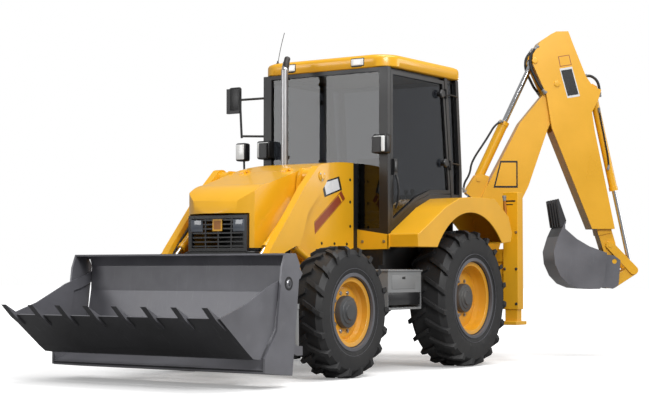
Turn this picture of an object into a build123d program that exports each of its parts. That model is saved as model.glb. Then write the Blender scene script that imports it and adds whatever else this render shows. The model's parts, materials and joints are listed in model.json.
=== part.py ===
"""Backhoe loader: front clamshell loader, cab, side-shift backhoe on a slewing kingpost.

Millimetres, +X forward, +Y the machine's left, +Z up. The model is drawn with its origin on the
ground under the rear axle, and is moved at the end so that the origin is the bottom centre of its box.
Points in a side view are (x, z). Points of the backhoe are (reach from the slew axis, height).
"""
from build123d import *
import math
import os

# ---------------------------------------------------------------- fits and plate thicknesses
GAP = 0.3            # between faces of different bodies that seat on each other
FIT = 0.05           # radial running clearance of a pin in its bore
RUN = 5.0            # between moving pieces that pass each other
SHEET = 12.0         # bonnet, cowl and bucket skins
GLASS = 6.0

# ---------------------------------------------------------------- wheels and axles
WHEELBASE = 2170.0
REAR_R, REAR_W, REAR_RIM_R, REAR_RIM_W, REAR_TRACK = 700.0, 430.0, 372.0, 330.0, 1850.0
FRONT_R, FRONT_W, FRONT_RIM_R, FRONT_RIM_W, FRONT_TRACK = 605.0, 340.0, 318.0, 260.0, 1800.0
LUG_HEIGHT = 32.0
REAR_LUGS, FRONT_LUGS = 20, 18
HUB_R = 145.0
REAR_HUB_IN = 706.0      # inner end of the rear hub, measured from the middle plane
FRONT_HUB_IN = 796.0
KINGPIN_Y, KINGPIN_R = 700.0, 26.0
AXLE_HALF = 75.0         # front beam, half of its height

# ---------------------------------------------------------------- chassis
RAIL_IN, RAIL_OUT, RAIL_Z0, RAIL_Z1 = 300.0, 400.0, 700.0, 900.0
RAIL_X0, RAIL_X1 = -1060.0, 2700.0
TOWER_IN, TOWER_OUT = 412.0, 440.0
ENGINE = (1350.0, 2520.0, 250.0, 1450.0)      # x from, x to, half width, top

# ---------------------------------------------------------------- bonnet, cowl, nose
SEAM_X = 2110.0          # seam between the fixed cowl and the bonnet
COWL_X = 1180.0
BONNET_HALF = 400.0
COWL_HALF = 408.0
SKIRT_Z = 1190.0
NOSE_X, NOSE_CORNER_X = 2930.0, 2780.0
LIP_Z = 1505.0

# ---------------------------------------------------------------- cab
CAB_X0, CAB_X1, CAB_HALF = -400.0, 1100.0, 760.0
FLOOR_Z0, FLOOR_Z1 = 980.0, 1050.0
ROOF_Z0, ROOF_Z1 = 3000.0, 3140.0
POST = 55.0
DOOR_T = 40.0
FENDER_OUT, FENDER_TOP = 1100.0, 1742.0
WALL_Y = 650.0           # inner wall of the wheel arch, its inner face
ARCH_R = 880.0

# ---------------------------------------------------------------- loader
ARM_IN, ARM_OUT = 550.0, 625.0
RAM_Y, RAM_HALF = 492.0, 36.0      # middle plane of the lift and tilt cylinders, half width of their eyes
ARM_PIVOT = (2060.0, 1870.0)
BUCKET_PIN = (3170.0, 360.0)
LIFT_BASE, LIFT_EYE = (1500.0, 800.0), (2450.0, 1265.0)
TILT_BASE, TILT_EYE = (2175.0, 1730.0), (3150.0, 830.0)
PIN_R, BOSS_R = 28.0, 50.0
BUCKET_HALF = 1200.0
JAW_HALF = 1170.0
JAW_PIN = (3395.0, 875.0)
CLAM_BASE, CLAM_EYE, CLAM_HALF = (3185.0, 300.0), (3195.0, 960.0), 30.0
TEETH = 8

# ---------------------------------------------------------------- backhoe
SLEW_X, SLEW_DEG = -1420.0, 52.0
LEG_X0, LEG_X1, LEG_Y0, LEG_Y1 = -1235.0, -1105.0, 880.0, 1060.0
LEG_TOP, LEG_BOTTOM = 1840.0, 560.0
BOOM_FOOT, ELBOW = (360.0, 800.0), (1255.0, 3125.0)
BOOM_HALF, DIPPER_HALF = 115.0, 160.0
CROWD_BASE, CROWD_EYE = (355.0, 2030.0), (1000.0, 3390.0)
BOOM_RAM_BASE, BOOM_RAM_EYE = (165.0, 1040.0), (270.0, 1890.0)
SCOOP_PIN = (1905.0, 1088.0)
LEVER_PIN = (1865.0, 1275.0)
KNEE_PIN = (2140.0, 988.0)
LINK_PIN = (1895.0, 838.0)
SCOOP_RAM_BASE = (1700.0, 3080.0)
SCOOP_HALF = 300.0


# ================================================================ helpers
def side(sketch, y0, y1):
    """Extrude a side-view sketch, drawn as (x, z), from y0 to y1."""
    return Pos(0, y1, 0) * extrude(Plane.XZ * sketch, y1 - y0)


def plate(points, y0, y1):
    return side(make_face(Polyline(*points, close=True)), y0, y1)


def disc(centre, radius, y0, y1):
    return side(Pos(*centre) * Circle(radius), y0, y1)


def link(p, radius_p, q, radius_q, y0, y1):
    """Tapered bar round two eyes."""
    ends = (Pos(*p) * Circle(radius_p)).edges() + (Pos(*q) * Circle(radius_q)).edges()
    return side(make_hull(ends), y0, y1)


def block(x0, x1, y0, y1, z0, z1):
    return Pos((x0 + x1) / 2, (y0 + y1) / 2, (z0 + z1) / 2) * Box(x1 - x0, y1 - y0, z1 - z0)


def both(shape):
    """The shape and its mirror image on the machine's other side."""
    return shape + mirror(shape, about=Plane.XZ)


def fold(points, thick):
    """Outline of a folded sheet: the given line and the same line moved thick to its left."""
    moved = []
    for index, here in enumerate(points):
        before = points[max(index - 1, 0)]
        after = points[min(index + 1, len(points) - 1)]
        normals = []
        for p, q in ((before, here), (here, after)):
            length = math.dist(p, q)
            if length:
                normals.append(((p[1] - q[1]) / length, (q[0] - p[0]) / length))
        a, b = normals[0], normals[-1]
        scale = thick / (1 + a[0] * b[0] + a[1] * b[1])
        moved.append((here[0] + (a[0] + b[0]) * scale, here[1] + (a[1] + b[1]) * scale))
    return points + moved[::-1]


def slot_of(points):
    return make_face(Polyline(*points, close=True))


def bar(p, q, radius, start=0.0, end=None):
    """Round bar on the line from p to q, points (x, y, z), between two distances from p."""
    line = Vector(*q) - Vector(*p)
    end = line.length if end is None else end
    way = line.normalized()
    seat = Plane(origin=Vector(*p) + way * start, z_dir=way)
    return extrude(seat * Circle(radius), end - start)


def ram(base, eye, y, barrel_r, rod_r, barrel_length, tail, half_eye, pin_r=28.0):
    """Cylinder barrel with a bored eye, and its rod from tail to a plain eye, in the plane at y."""
    p, q = (base[0], y, base[1]), (eye[0], y, eye[1])
    eye_r = pin_r * 1.8
    barrel = bar(p, q, barrel_r, eye_r * 0.8, barrel_length)
    barrel += bar(p, q, barrel_r + 5, barrel_length - 45, barrel_length)
    barrel += disc(base, eye_r, y - half_eye, y + half_eye)
    barrel -= bar(p, q, rod_r + GAP, eye_r + 20, barrel_length + 1)
    barrel -= disc(base, pin_r + FIT, y - half_eye - 1, y + half_eye + 1)
    rod = bar(p, q, rod_r, tail, math.dist(base, eye) - eye_r * 0.6)
    rod += disc(eye, eye_r, y - half_eye, y + half_eye)
    return barrel, rod


def tube(p, q, outer, inner, start, end):
    return bar(p, q, outer, start, end) - bar(p, q, inner, start - 1, end + 1)


# ================================================================ wheels
def tyre(radius, width, rim_r, rim_w, lugs):
    """Carcass with chevron lugs, centred on its own middle, spinning about Y."""
    carcass_r = radius - LUG_HEIGHT
    half = width / 2
    shoulder, edge = carcass_r - 45, rim_w / 2
    profile = [(rim_r - 26 + GAP, edge - 22 - GAP), (rim_r + GAP, edge - 14 - GAP), (rim_r + GAP, edge),
               (rim_r + 14, half * 0.86), ((rim_r + shoulder) / 2, half),
               (shoulder, half * 0.96), (carcass_r, half * 0.70)]
    ring = profile + [(r, -y) for r, y in reversed(profile)]
    section = make_face(Polyline(*ring, close=True))
    carcass = revolve(Plane.XY * section, Axis.Y)
    long, wide = half * 1.10, 46.0
    lug_plan = slot_of([(-wide / 2, -6), (wide / 2, -6), (wide / 2 + long * 0.62, long), (-wide / 2 + long * 0.62, long)])
    lug = Pos(0, 0, carcass_r - 70) * extrude(lug_plan, 120)
    crown = [(carcass_r - 60, half * 1.02), (radius - 26, half * 1.02), (radius, half * 0.66)]
    hoop = make_face(Polyline(*(crown + [(r, -y) for r, y in reversed(crown)]), close=True))
    hoop = revolve(Plane.XY * hoop, Axis.Y)
    pitch = 360 / lugs
    for index in range(lugs):
        carcass += (Rot(0, index * pitch, 0) * lug) & hoop
        carcass += (Rot(0, (index + 0.5) * pitch, 0) * mirror(lug, about=Plane.XZ)) & hoop
    return carcass


def rim(rim_r, rim_w, hub_in):
    """Rim with its dished disc and the hub through it; +Y is outboard, 0 the tyre's middle."""
    half = rim_w / 2
    well = rim_r - 45
    barrel = [(rim_r, half), (rim_r, half - 14), (rim_r - 26, half - 22), (rim_r - 26, half * 0.45), (well, half * 0.2),
              (well, -half * 0.2), (rim_r - 26, -half * 0.45), (rim_r - 26, -half + 22), (rim_r, -half + 14), (rim_r, -half),
              (rim_r - 40, -half + 6), (rim_r - 40, -half * 0.5), (well - 14, -half * 0.25), (well - 14, 8),
              (HUB_R + 60, 30), (HUB_R - 5, 30), (HUB_R - 5, 46), (HUB_R + 70, 46), (well - 14, 30), (rim_r - 40, half * 0.5),
              (rim_r - 40, half - 6)]
    hub = [(0, hub_in), (HUB_R * 0.8, hub_in), (HUB_R, 10), (HUB_R, 84), (HUB_R * 0.86, 98), (HUB_R * 0.45, 102), (0, 102)]
    return (revolve(make_face(Polyline(*barrel, close=True)), Axis.Y)
            + revolve(make_face(Polyline(*hub, close=True)), Axis.Y))


WHEELS = {      # name: (x, track / 2, tyre radius, tyre width, rim radius, rim width, hub's inner end, lugs)
    "front": (WHEELBASE, FRONT_TRACK / 2, FRONT_R, FRONT_W, FRONT_RIM_R, FRONT_RIM_W, FRONT_HUB_IN, FRONT_LUGS),
    "rear": (0.0, REAR_TRACK / 2, REAR_R, REAR_W, REAR_RIM_R, REAR_RIM_W, REAR_HUB_IN, REAR_LUGS)}

nodes = {}
for name, (x, out, radius, width, rim_r, rim_w, hub_in, lugs) in WHEELS.items():
    rubber = Pos(x, out, radius) * tyre(radius, width, rim_r, rim_w, lugs)
    metal = Pos(x, out, radius) * rim(rim_r, rim_w, hub_in - out)
    nodes[f"tyre_{name}_left"], nodes[f"rim_{name}_left"] = rubber, metal
    nodes[f"tyre_{name}_right"] = mirror(rubber, about=Plane.XZ)
    nodes[f"rim_{name}_right"] = mirror(metal, about=Plane.XZ)

# ================================================================ axles
front = Pos(WHEELBASE, 0, FRONT_R)
axle = front * Box(170, 1120, 2 * AXLE_HALF)
axle += front * Pos(0, 0, 0) * Sphere(125)
axle += block(WHEELBASE - 110, WHEELBASE + 110, -180, 180, FRONT_R + AXLE_HALF, RAIL_Z1 - 20)
YOKE_GAP = 58.0
for z in (-1, 1):
    ear = front * Pos(0, 632, z * (YOKE_GAP + 17)) * Box(120, 226, 34)
    axle += both(ear)
kingpin = front * Pos(0, KINGPIN_Y, 0) * Cylinder(KINGPIN_R, 2 * YOKE_GAP + 68)
axle += both(kingpin)
nodes["front_axle"] = axle
knuckle = front * Pos(0, KINGPIN_Y, 0) * Cylinder(62, 2 * (YOKE_GAP - GAP))
knuckle += front * Pos(0, 760, 0) * Box(110, 60, 2 * (YOKE_GAP - GAP))
knuckle += disc((WHEELBASE, FRONT_R), HUB_R * 0.8, 775, FRONT_HUB_IN - GAP)
knuckle -= front * Pos(0, KINGPIN_Y, 0) * Cylinder(KINGPIN_R + FIT, 200)
nodes["knuckle_left"] = knuckle
nodes["knuckle_right"] = mirror(knuckle, about=Plane.XZ)

rear_axle = disc((0, REAR_R), 95, -690, 690) + Pos(0, 0, REAR_R) * Sphere(175)
rear_axle += both(disc((0, REAR_R), HUB_R, 640, REAR_HUB_IN - GAP))
rear_axle += both(block(-110, 110, RAIL_IN + 10, RAIL_OUT - 10, REAR_R, REAR_R + 115))
nodes["rear_axle"] = rear_axle

# ================================================================ chassis
chassis = both(block(RAIL_X0, RAIL_X1, RAIL_IN, RAIL_OUT, RAIL_Z0, RAIL_Z1))
chassis -= block(-140, 140, -500, 500, RAIL_Z0 - 1, REAR_R + 115)
for x in (-1000, -620, 500, 1450, 1900, 2450):
    chassis += block(x, x + 60, -RAIL_IN, RAIL_IN, RAIL_Z0 + 20, RAIL_Z1 - 20)
chassis += block(WHEELBASE - 140, WHEELBASE + 140, -RAIL_IN, RAIL_IN, RAIL_Z1 - 20, RAIL_Z1)
chassis += block(RAIL_X1, RAIL_X1 + 130, -RAIL_OUT, RAIL_OUT, RAIL_Z0 - 60, RAIL_Z1)
tower = plate([(1435, RAIL_Z0 + 20), (1435, 900), (1560, 960), (1880, 1120), (1960, 1880), (2000, 1950), (2110, 1950),
               (2160, 1880), (2290, 1000), (2290, RAIL_Z0 + 20)], TOWER_IN, TOWER_OUT)
tower += block(1435, 2290, RAIL_OUT, TOWER_IN, RAIL_Z0 + 20, RAIL_Z1)
tower += disc(ARM_PIVOT, 75, TOWER_OUT, ARM_IN - GAP) + disc(ARM_PIVOT, PIN_R, TOWER_OUT, ARM_OUT + 12)
tower += disc(LIFT_BASE, PIN_R, TOWER_OUT, RAM_Y + RAM_HALF + 12)
tower += disc(LIFT_BASE, BOSS_R, TOWER_OUT, RAM_Y - RAM_HALF - GAP)
chassis += both(tower)
for x in (-330, 980):
    chassis += both(block(x - 60, x + 60, RAIL_IN, RAIL_OUT, RAIL_Z1, FLOOR_Z0))
nodes["chassis_frame"] = chassis
x0, x1, half, top = ENGINE
nodes["engine_block"] = block(x0, x1, -half, half, RAIL_Z1, top)

# ================================================================ nose, grille, bonnet, cowl
nose = block(2600, 2840, -BONNET_HALF + 10, BONNET_HALF - 10, RAIL_Z1, 1160)
nose = chamfer(nose.edges().filter_by(Axis.Z).group_by(Axis.X)[-1], 60)
nodes["nose_weight"] = nose
grille = block(2800, 2840, -340, 340, 1160, 1490) - block(2790, 2850, -300, 300, 1190, 1460)
for index in range(7):
    z = 1200 + index * 40
    grille += block(2806, 2832, -300, 300, z, z + 14)
for y in (-150, 0, 150):
    grille += block(2812, 2826, y - 8, y + 8, 1190, 1460)
nodes["grille"] = grille


def hood(inset):
    """Bonnet volume, shrunk by inset on every side but its rear end and bottom."""
    top = Line((SEAM_X, 1925 - inset), (2560, 1790 - inset))
    nose_arc = ThreePointArc(top @ 1, (2800 - inset, 1690 - inset), (NOSE_X - inset, LIP_Z))
    rest = Polyline(nose_arc @ 1, (NOSE_X - inset, SKIRT_Z), (SEAM_X, SKIRT_Z), top @ 0)
    profile = side(make_face([top, nose_arc, rest]), -600, 600)
    wide = BONNET_HALF - inset
    left = Line((SEAM_X, wide), (NOSE_CORNER_X - inset, wide - 20))
    cap = ThreePointArc(left @ 1, (NOSE_X - inset, 0), (NOSE_CORNER_X - inset, -wide + 20))
    back = Polyline(cap @ 1, (SEAM_X, -wide), (SEAM_X, wide))
    plan = Pos(0, 0, SKIRT_Z) * extrude(make_face([left, cap, back]), 900)
    return profile & plan


bonnet = hood(0) - hood(SHEET)
bonnet -= block(2700, 3000, -345, 345, SKIRT_Z - 5, LIP_Z)
nodes["bonnet"] = bonnet


BONNET_HINGE = (2108.0, 1941.0)
HINGE_PIN_R, HINGE_TUBE_R = 8.0, 12.0
for y in (-250.0, 250.0):
    leaf = plate([(2108, 1936), (2108, 1950), (2150, 1928), (2150, 1905), (2118, 1905)], y - 30, y + 30)
    knuckle_tube = leaf + disc(BONNET_HINGE, HINGE_TUBE_R, y - 30, y + 30)
    bonnet += knuckle_tube - disc(BONNET_HINGE, HINGE_PIN_R + FIT, y - 31, y + 31)
nodes["bonnet"] = bonnet


def cowl(inset):
    top = ThreePointArc((COWL_X, 2050 - inset), (1700, 2015 - inset), (SEAM_X - 4, 1927 - inset))
    rest = Polyline(top @ 1, (SEAM_X - 4, SKIRT_Z), (COWL_X, SKIRT_Z), top @ 0)
    wide = COWL_HALF - inset
    return side(make_face([top, rest]), -wide, wide)


shell = cowl(0) - cowl(SHEET)
EXHAUST = (1420.0, -260.0, 36.0)
shell -= Pos(EXHAUST[0], EXHAUST[1], 2000) * Cylinder(EXHAUST[2] + GAP, 300)
for y in (-250.0, 250.0):
    shell += disc(BONNET_HINGE, HINGE_PIN_R, y - 50, y + 50)
    for edge in (y - 50, y + 30 + GAP):
        shell += plate([(2112, 1953), (2096, 1953), (2060, 1940), (2060, 1915), (2098, 1915), (2106, 1929), (2116, 1932)],
                       edge, edge + 20 - GAP)
nodes["rear_cowl"] = shell
stack = bar((EXHAUST[0], EXHAUST[1], top), (EXHAUST[0], EXHAUST[1], 3000), EXHAUST[2])
stack += bar((EXHAUST[0], EXHAUST[1], 2985), (EXHAUST[0] - 70, EXHAUST[1] - 30, 3080), EXHAUST[2])
nodes["exhaust_stack"] = stack

# ================================================================ cab
floor = block(CAB_X0, CAB_X1, -640, 640, FLOOR_Z0, FLOOR_Z1)
bulkhead = block(CAB_X1, COWL_X, -COWL_HALF, COWL_HALF, FLOOR_Z1 - 40, 2050)
frame = floor + bulkhead
frame += both(block(CAB_X1 - 60, CAB_X1, 640, CAB_HALF - 20, SKIRT_Z, 1330))
frame += both(block(CAB_X1 - POST, CAB_X1, CAB_HALF - POST - 45, CAB_HALF, SKIRT_Z, ROOF_Z0))
REAR_EDGE = ((-20.0, 2970.0), (-155.0, 1790.0))       # rear edge of the door, top and bottom
C_POST = [(-30, ROOF_Z0), (-30 - POST, ROOF_Z0), (-175 - POST, FENDER_TOP), (-175, FENDER_TOP)]
D_POST = [(-270, ROOF_Z0), (-325, ROOF_Z0), (-400, 2020), (-400, FENDER_TOP), (-345, FENDER_TOP), (-345, 2020)]
frame += both(plate(C_POST, CAB_HALF - POST - 20, CAB_HALF))
frame += both(plate(D_POST, CAB_HALF - POST - 20, CAB_HALF))
rails = block(-325, CAB_X1, CAB_HALF - POST - 20, CAB_HALF - 42, ROOF_Z0 - 40, ROOF_Z0)
frame += both(rails)
frame += block(CAB_X1 - POST, CAB_X1, -CAB_HALF, CAB_HALF, ROOF_Z0 - 40, ROOF_Z0)
frame += block(-325, -270, -CAB_HALF, CAB_HALF, ROOF_Z0 - 40, ROOF_Z0)
frame += block(CAB_X1 - 45, CAB_X1, -CAB_HALF + 60, CAB_HALF - 60, FLOOR_Z1 - 10, 1400)
frame += block(-400, -360, -WALL_Y, WALL_Y, FLOOR_Z0, FENDER_TOP + 20)
frame += block(-400, -360, -CAB_HALF + 10, CAB_HALF - 10, FENDER_TOP, FENDER_TOP + 60)
frame += both(block(CAB_X0, CAB_X1, WALL_Y - 30, WALL_Y, FLOOR_Z0, 1330))
SILL = [(1060, 1413), (545, 1684), (265, 1769), (-162, 1784), (-345, 1784), (-345, FENDER_TOP), (-60, FENDER_TOP),
        (265, 1720), (545, 1620), (1040, 1360), (1060, 1355)]
frame += both(plate(SILL, CAB_HALF - POST - 20, CAB_HALF - 6))
nodes["cab_frame"] = frame

screen = block(CAB_X1 - 30, CAB_X1 - 30 + GLASS, -CAB_HALF + POST + 45, CAB_HALF - POST - 45, 1400, ROOF_Z0 - 40)
screen -= block(0, 2000, -COWL_HALF, COWL_HALF, 1300, 2050)
rear_pane = plate([(-310, ROOF_Z0 - 40), (-310 - GLASS, ROOF_Z0 - 40), (-385 - GLASS, 2020), (-385 - GLASS, 1802),
                   (-385, 1802), (-385, 2020)], -CAB_HALF + POST + 20, CAB_HALF - POST - 20)
quarter = plate([(-95, ROOF_Z0 - 40), (-265, ROOF_Z0 - 40), (-340, 2020), (-340, 1784), (-230, 1784)],
                CAB_HALF - 40, CAB_HALF - 40 + GLASS)
nodes["cab_glass"] = screen + rear_pane + both(quarter)

roof_plan = Pos(360, 0, ROOF_Z0) * extrude(RectangleRounded(1500, 1580, 130), ROOF_Z1 - ROOF_Z0)
nodes["cab_roof"] = fillet(roof_plan.edges().group_by(Axis.Z)[-1], 60)

seat = block(180, 640, -240, 240, 1480, 1600) + plate([(80, 1560), (180, 1560), (180, 2200), (110, 2200)], -230, 230)
seat += block(250, 560, -170, 170, FLOOR_Z1, 1480)
nodes["seat"] = seat
console = plate([(860, FLOOR_Z1), (1040, FLOOR_Z1), (1040, 1400), (1000, 1780), (900, 1780), (880, 1400)], -120, 120)
console += bar((950, 0, 1770), (800, 0, 1960), 28)
WHEEL_SEAT = Plane(origin=(800, 0, 1960), z_dir=(-150, 0, 190))
console += WHEEL_SEAT * Torus(190, 16) + WHEEL_SEAT * Box(360, 30, 14) + WHEEL_SEAT * Box(30, 360, 14)
nodes["dash_and_wheel"] = console

# ---------------------------------------------------------------- doors
DOOR = [(1040, 1430), (1040, 2970), REAR_EDGE[0], REAR_EDGE[1], (265, 1775), (545, 1690)]
DOOR_Y1 = CAB_HALF
DOOR_Y0 = CAB_HALF - DOOR_T
outline = slot_of(DOOR)
door = side(outline, DOOR_Y0, DOOR_Y1) - side(offset(outline, -38), DOOR_Y0 - 1, DOOR_Y1 + 1)
door += side(Pos(985, 2010) * Rectangle(60, 160), DOOR_Y1 - 30, DOOR_Y1 + 22)
pane = side(offset(outline, -38), DOOR_Y1 - 24, DOOR_Y1 - 24 + GLASS)
pane -= side(Pos(985, 2010) * Rectangle(60, 160), DOOR_Y0, DOOR_Y1 + 30)
HINGE_LIFT = 14.0        # axis of the door's hinges outboard of its face
foot, head = (REAR_EDGE[1][0] - 6, DOOR_Y1 + HINGE_LIFT, REAR_EDGE[1][1]), (REAR_EDGE[0][0] - 6, DOOR_Y1 + HINGE_LIFT, REAR_EDGE[0][1])
for rise in (300.0, 1050.0):
    spot = Vector(*foot) + (Vector(*head) - Vector(*foot)).normalized() * rise
    leaf = block(spot.X, spot.X + 34, DOOR_Y1 - 4, DOOR_Y1 + HINGE_LIFT, spot.Z - 26, spot.Z + 26)
    door += leaf + bar(foot, head, HINGE_TUBE_R, rise - 30, rise + 30)
    door -= bar(foot, head, HINGE_PIN_R + FIT, rise - 60, rise + 60)
    pin = bar(foot, head, HINGE_PIN_R, rise - 50, rise + 50)
    for start in (rise - 50, rise + 30 + GAP):
        pin += bar(foot, head, HINGE_TUBE_R, start, start + 20 - GAP)
        z = spot.Z + start - rise + 10
        pin += block(spot.X - 46, spot.X, DOOR_Y1, DOOR_Y1 + HINGE_LIFT, z - 8, z + 8)
    frame += both(pin)
nodes["cab_frame"] = frame
nodes["door_left"], nodes["door_glass_left"] = door, pane
nodes["door_right"], nodes["door_glass_right"] = mirror(door, about=Plane.XZ), mirror(pane, about=Plane.XZ)

# ---------------------------------------------------------------- fenders, steps and tanks
FENDER = [(1090, 1215), (1100, 1340), (1040, 1360), (545, 1620), (265, 1720), (-60, 1742), (-500, 1742),
          (-820, 1560), (-900, 1380), (-860, 1290), (0, 1215)]
FENDER_SKIN = 14.0
fender = plate(FENDER, WALL_Y, FENDER_OUT) - disc((0, REAR_R), ARCH_R, 600, FENDER_OUT + 1)
hollow = side(offset(slot_of(FENDER), -FENDER_SKIN), WALL_Y + FENDER_SKIN, FENDER_OUT - FENDER_SKIN)
fender -= hollow
fender -= block(CAB_X1 - 60, 1200, 600, CAB_HALF, 1100, 1400)
nodes["fenders"] = both(fender)

steps = block(790, 1400, RAIL_OUT, 950, 770, 975)
for x in (782, 1400):
    steps += block(x, x + 8, 640, 950, 605, 975)
steps += block(790, 1400, 690, 955, 605, 622) + block(770, 1420, 660, 960, 975, 990)
tank = block(790, 1400, -950, -RAIL_OUT, 600, 975)
nodes["step_box_and_tank"] = steps + tank

# ---------------------------------------------------------------- mirror and lamps
mirror_arm = bar((CAB_X1 - 20, -CAB_HALF + 20, 2780), (1240, -960, 2760), 12)
mirror_arm += bar((CAB_X1 - 20, -CAB_HALF + 20, 2380), (1240, -940, 2380), 12)
mirror_arm += bar((1240, -938, 2360), (1250, -962, 2890), 12)
mirror_arm += block(1228, 1266, -1120, -950, 2620, 2880)
mirror_arm -= frame
nodes["mirror"] = mirror_arm
lamps = both(block(CAB_X1, CAB_X1 + 110, 640, 740, 2140, 2300))
lamps += both(block(1110, 1125, 350, 470, ROOF_Z0 + 15, ROOF_Z0 + 95))
nodes["lamps"] = lamps
nodes["cab_roof"] -= both(block(1110, 1200, 350, 470, ROOF_Z0 + 15, ROOF_Z0 + 95))

# ================================================================ loader
EAR_T = 16.0
EARS = (RAM_Y - RAM_HALF - GAP - EAR_T, RAM_Y + RAM_HALF + GAP, ARM_OUT + RUN)     # inner faces of the bucket's ears
arm_outline = [(1985, 1800), (2280, 1520), (2370, 1290), (2450, 1215), (2640, 1150), (2790, 1010), (2950, 760),
               (3100, 320), (3240, 400), (3170, 640), (3035, 930), (2860, 1180), (2340, 1755), (2110, 1960)]
arm = plate(arm_outline, ARM_IN, ARM_OUT)
arm += disc(ARM_PIVOT, 100, ARM_IN, ARM_OUT) + disc(BUCKET_PIN, 82, ARM_IN, ARM_OUT)
arm += disc(LIFT_EYE, 60, ARM_IN, ARM_OUT)
arm -= disc(ARM_PIVOT, PIN_R + FIT, ARM_IN - 1, ARM_OUT + 1)
arm += disc(TILT_BASE, PIN_R, RAM_Y - RAM_HALF - 6, ARM_IN)
for pin in (TILT_BASE, LIFT_EYE):
    arm += disc(pin, BOSS_R, RAM_Y + RAM_HALF + GAP, ARM_IN)
arm += disc(BUCKET_PIN, PIN_R, EARS[0], ARM_OUT + 40)
cross_tube = disc((3055, 600), 48, -ARM_IN, ARM_IN)
nodes["loader_arms"] = both(arm) + cross_tube
lift_barrel, lift_rod = ram(LIFT_BASE, LIFT_EYE, RAM_Y, 35, 23, 900, 130, RAM_HALF)
tilt_barrel, tilt_rod = ram(TILT_BASE, TILT_EYE, RAM_Y, 35, 23, 800, 300, RAM_HALF)
nodes["lift_barrels"], nodes["lift_rods"] = both(lift_barrel), both(lift_rod)
nodes["tilt_barrels"], nodes["tilt_rods"] = both(tilt_barrel), both(tilt_rod)

END_PLATE = [(3440, 1130), (3290, 1130), (3230, 1030), (3340, 100), (3730, 140), (3730, 260), (3560, 480), (3490, 1010)]
BOARD = [(3440, 1130), (3290, 1130), (3250, 1030), (3262, 800), (3330, 420), (3470, 240), (3730, 150)]
board = plate(fold(BOARD, 16), -BUCKET_HALF + 20, BUCKET_HALF - 20)
bucket = board + both(plate(END_PLATE, BUCKET_HALF - 20, BUCKET_HALF))
bucket += plate([(3345, 100), (3730, 136), (3730, 166), (3470, 250), (3420, 300), (3345, 420)],
                -BUCKET_HALF + 20, BUCKET_HALF - 20)
LOW_EAR = [(3275, 800), (3160, 930), (3085, 880), (3085, 330), (3160, 270), (3345, 300), (3345, 420)]
EYE_EAR = [(3275, 800), (3250, 960), (3150, 900), (3085, 880), (3095, 780), (3200, 700), (3200, 520), (3100, 420), (3085, 330),
           (3160, 270), (3345, 300), (3345, 420)]
for y, outline in ((EARS[0], EYE_EAR), (EARS[1], EYE_EAR), (EARS[2], LOW_EAR)):
    ear = plate(outline, y, y + EAR_T)
    if y != EARS[0]:
        ear += disc(BUCKET_PIN, BOSS_R, min(y, ARM_OUT + GAP), min(max(y + EAR_T, ARM_IN - GAP), y + EAR_T + RUN + 1))
    ear -= disc(BUCKET_PIN, PIN_R + FIT, y - RUN - 1, y + EAR_T + RUN + 2)
    bucket += both(ear)
nodes["loader_bucket"] = bucket

JAW_SIDE = [(3350, 940), (3600, 865), (3970, 700), (4260, 612), (4270, 590), (3930, 330), (3850, 275), (3745, 262),
            (3720, 300), (3560, 500), (3500, 800), (3400, 825), (3330, 850), (3180, 918), (3150, 960), (3190, 1003)]
jaw = both(plate(JAW_SIDE, JAW_HALF - 16, JAW_HALF))
jaw_floor = [(4290, 600), (3930, 318), (3850, 262), (3745, 248), (3745, 264), (3845, 280), (3920, 334), (4262, 606)]
jaw += plate(jaw_floor, -JAW_HALF, JAW_HALF)
for index in range(TEETH):
    y = -JAW_HALF + 55 + index * (2 * JAW_HALF - 110) / (TEETH - 1)
    jaw += plate([(4230, 590), (4420, 690), (4300, 580), (4180, 500)], y - 30, y + 30)
jaw += both(disc(JAW_PIN, PIN_R - 2, JAW_HALF, BUCKET_HALF + 8))
jaw += both(disc(JAW_PIN, 45, JAW_HALF, BUCKET_HALF - 20 - GAP))
nodes["clam_jaw"] = jaw
CLAM_Y = JAW_HALF - 16 - GAP - CLAM_HALF        # middle plane of the clam cylinders, beside the jaw's horn
mount = plate([(3145, 262), (3225, 262), (3400, 330), (3340, 420), (3225, 345), (3145, 340)], -CLAM_HALF - 14, CLAM_HALF + 14)
mount -= plate([(3100, 200), (3240, 200), (3240, 500), (3100, 500)], -CLAM_HALF - GAP, CLAM_HALF + GAP)
mount += disc(CLAM_BASE, 22, -CLAM_HALF - 14, CLAM_HALF + 14)
bucket -= both(disc(JAW_PIN, PIN_R - 2 + FIT, JAW_HALF + 5, BUCKET_HALF + 9))
bucket -= both(block(3200, 3400, JAW_HALF - 16 - RUN, JAW_HALF + 12, 640, 1090))
bucket += both(Pos(0, CLAM_Y, 0) * mount)
nodes["loader_bucket"] = bucket

clam_barrel, clam_rod = ram(CLAM_BASE, CLAM_EYE, CLAM_Y, 28, 16, 400, 290, CLAM_HALF, 22.0)
nodes["clam_barrels"], nodes["clam_rods"] = both(clam_barrel), both(clam_rod)

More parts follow.
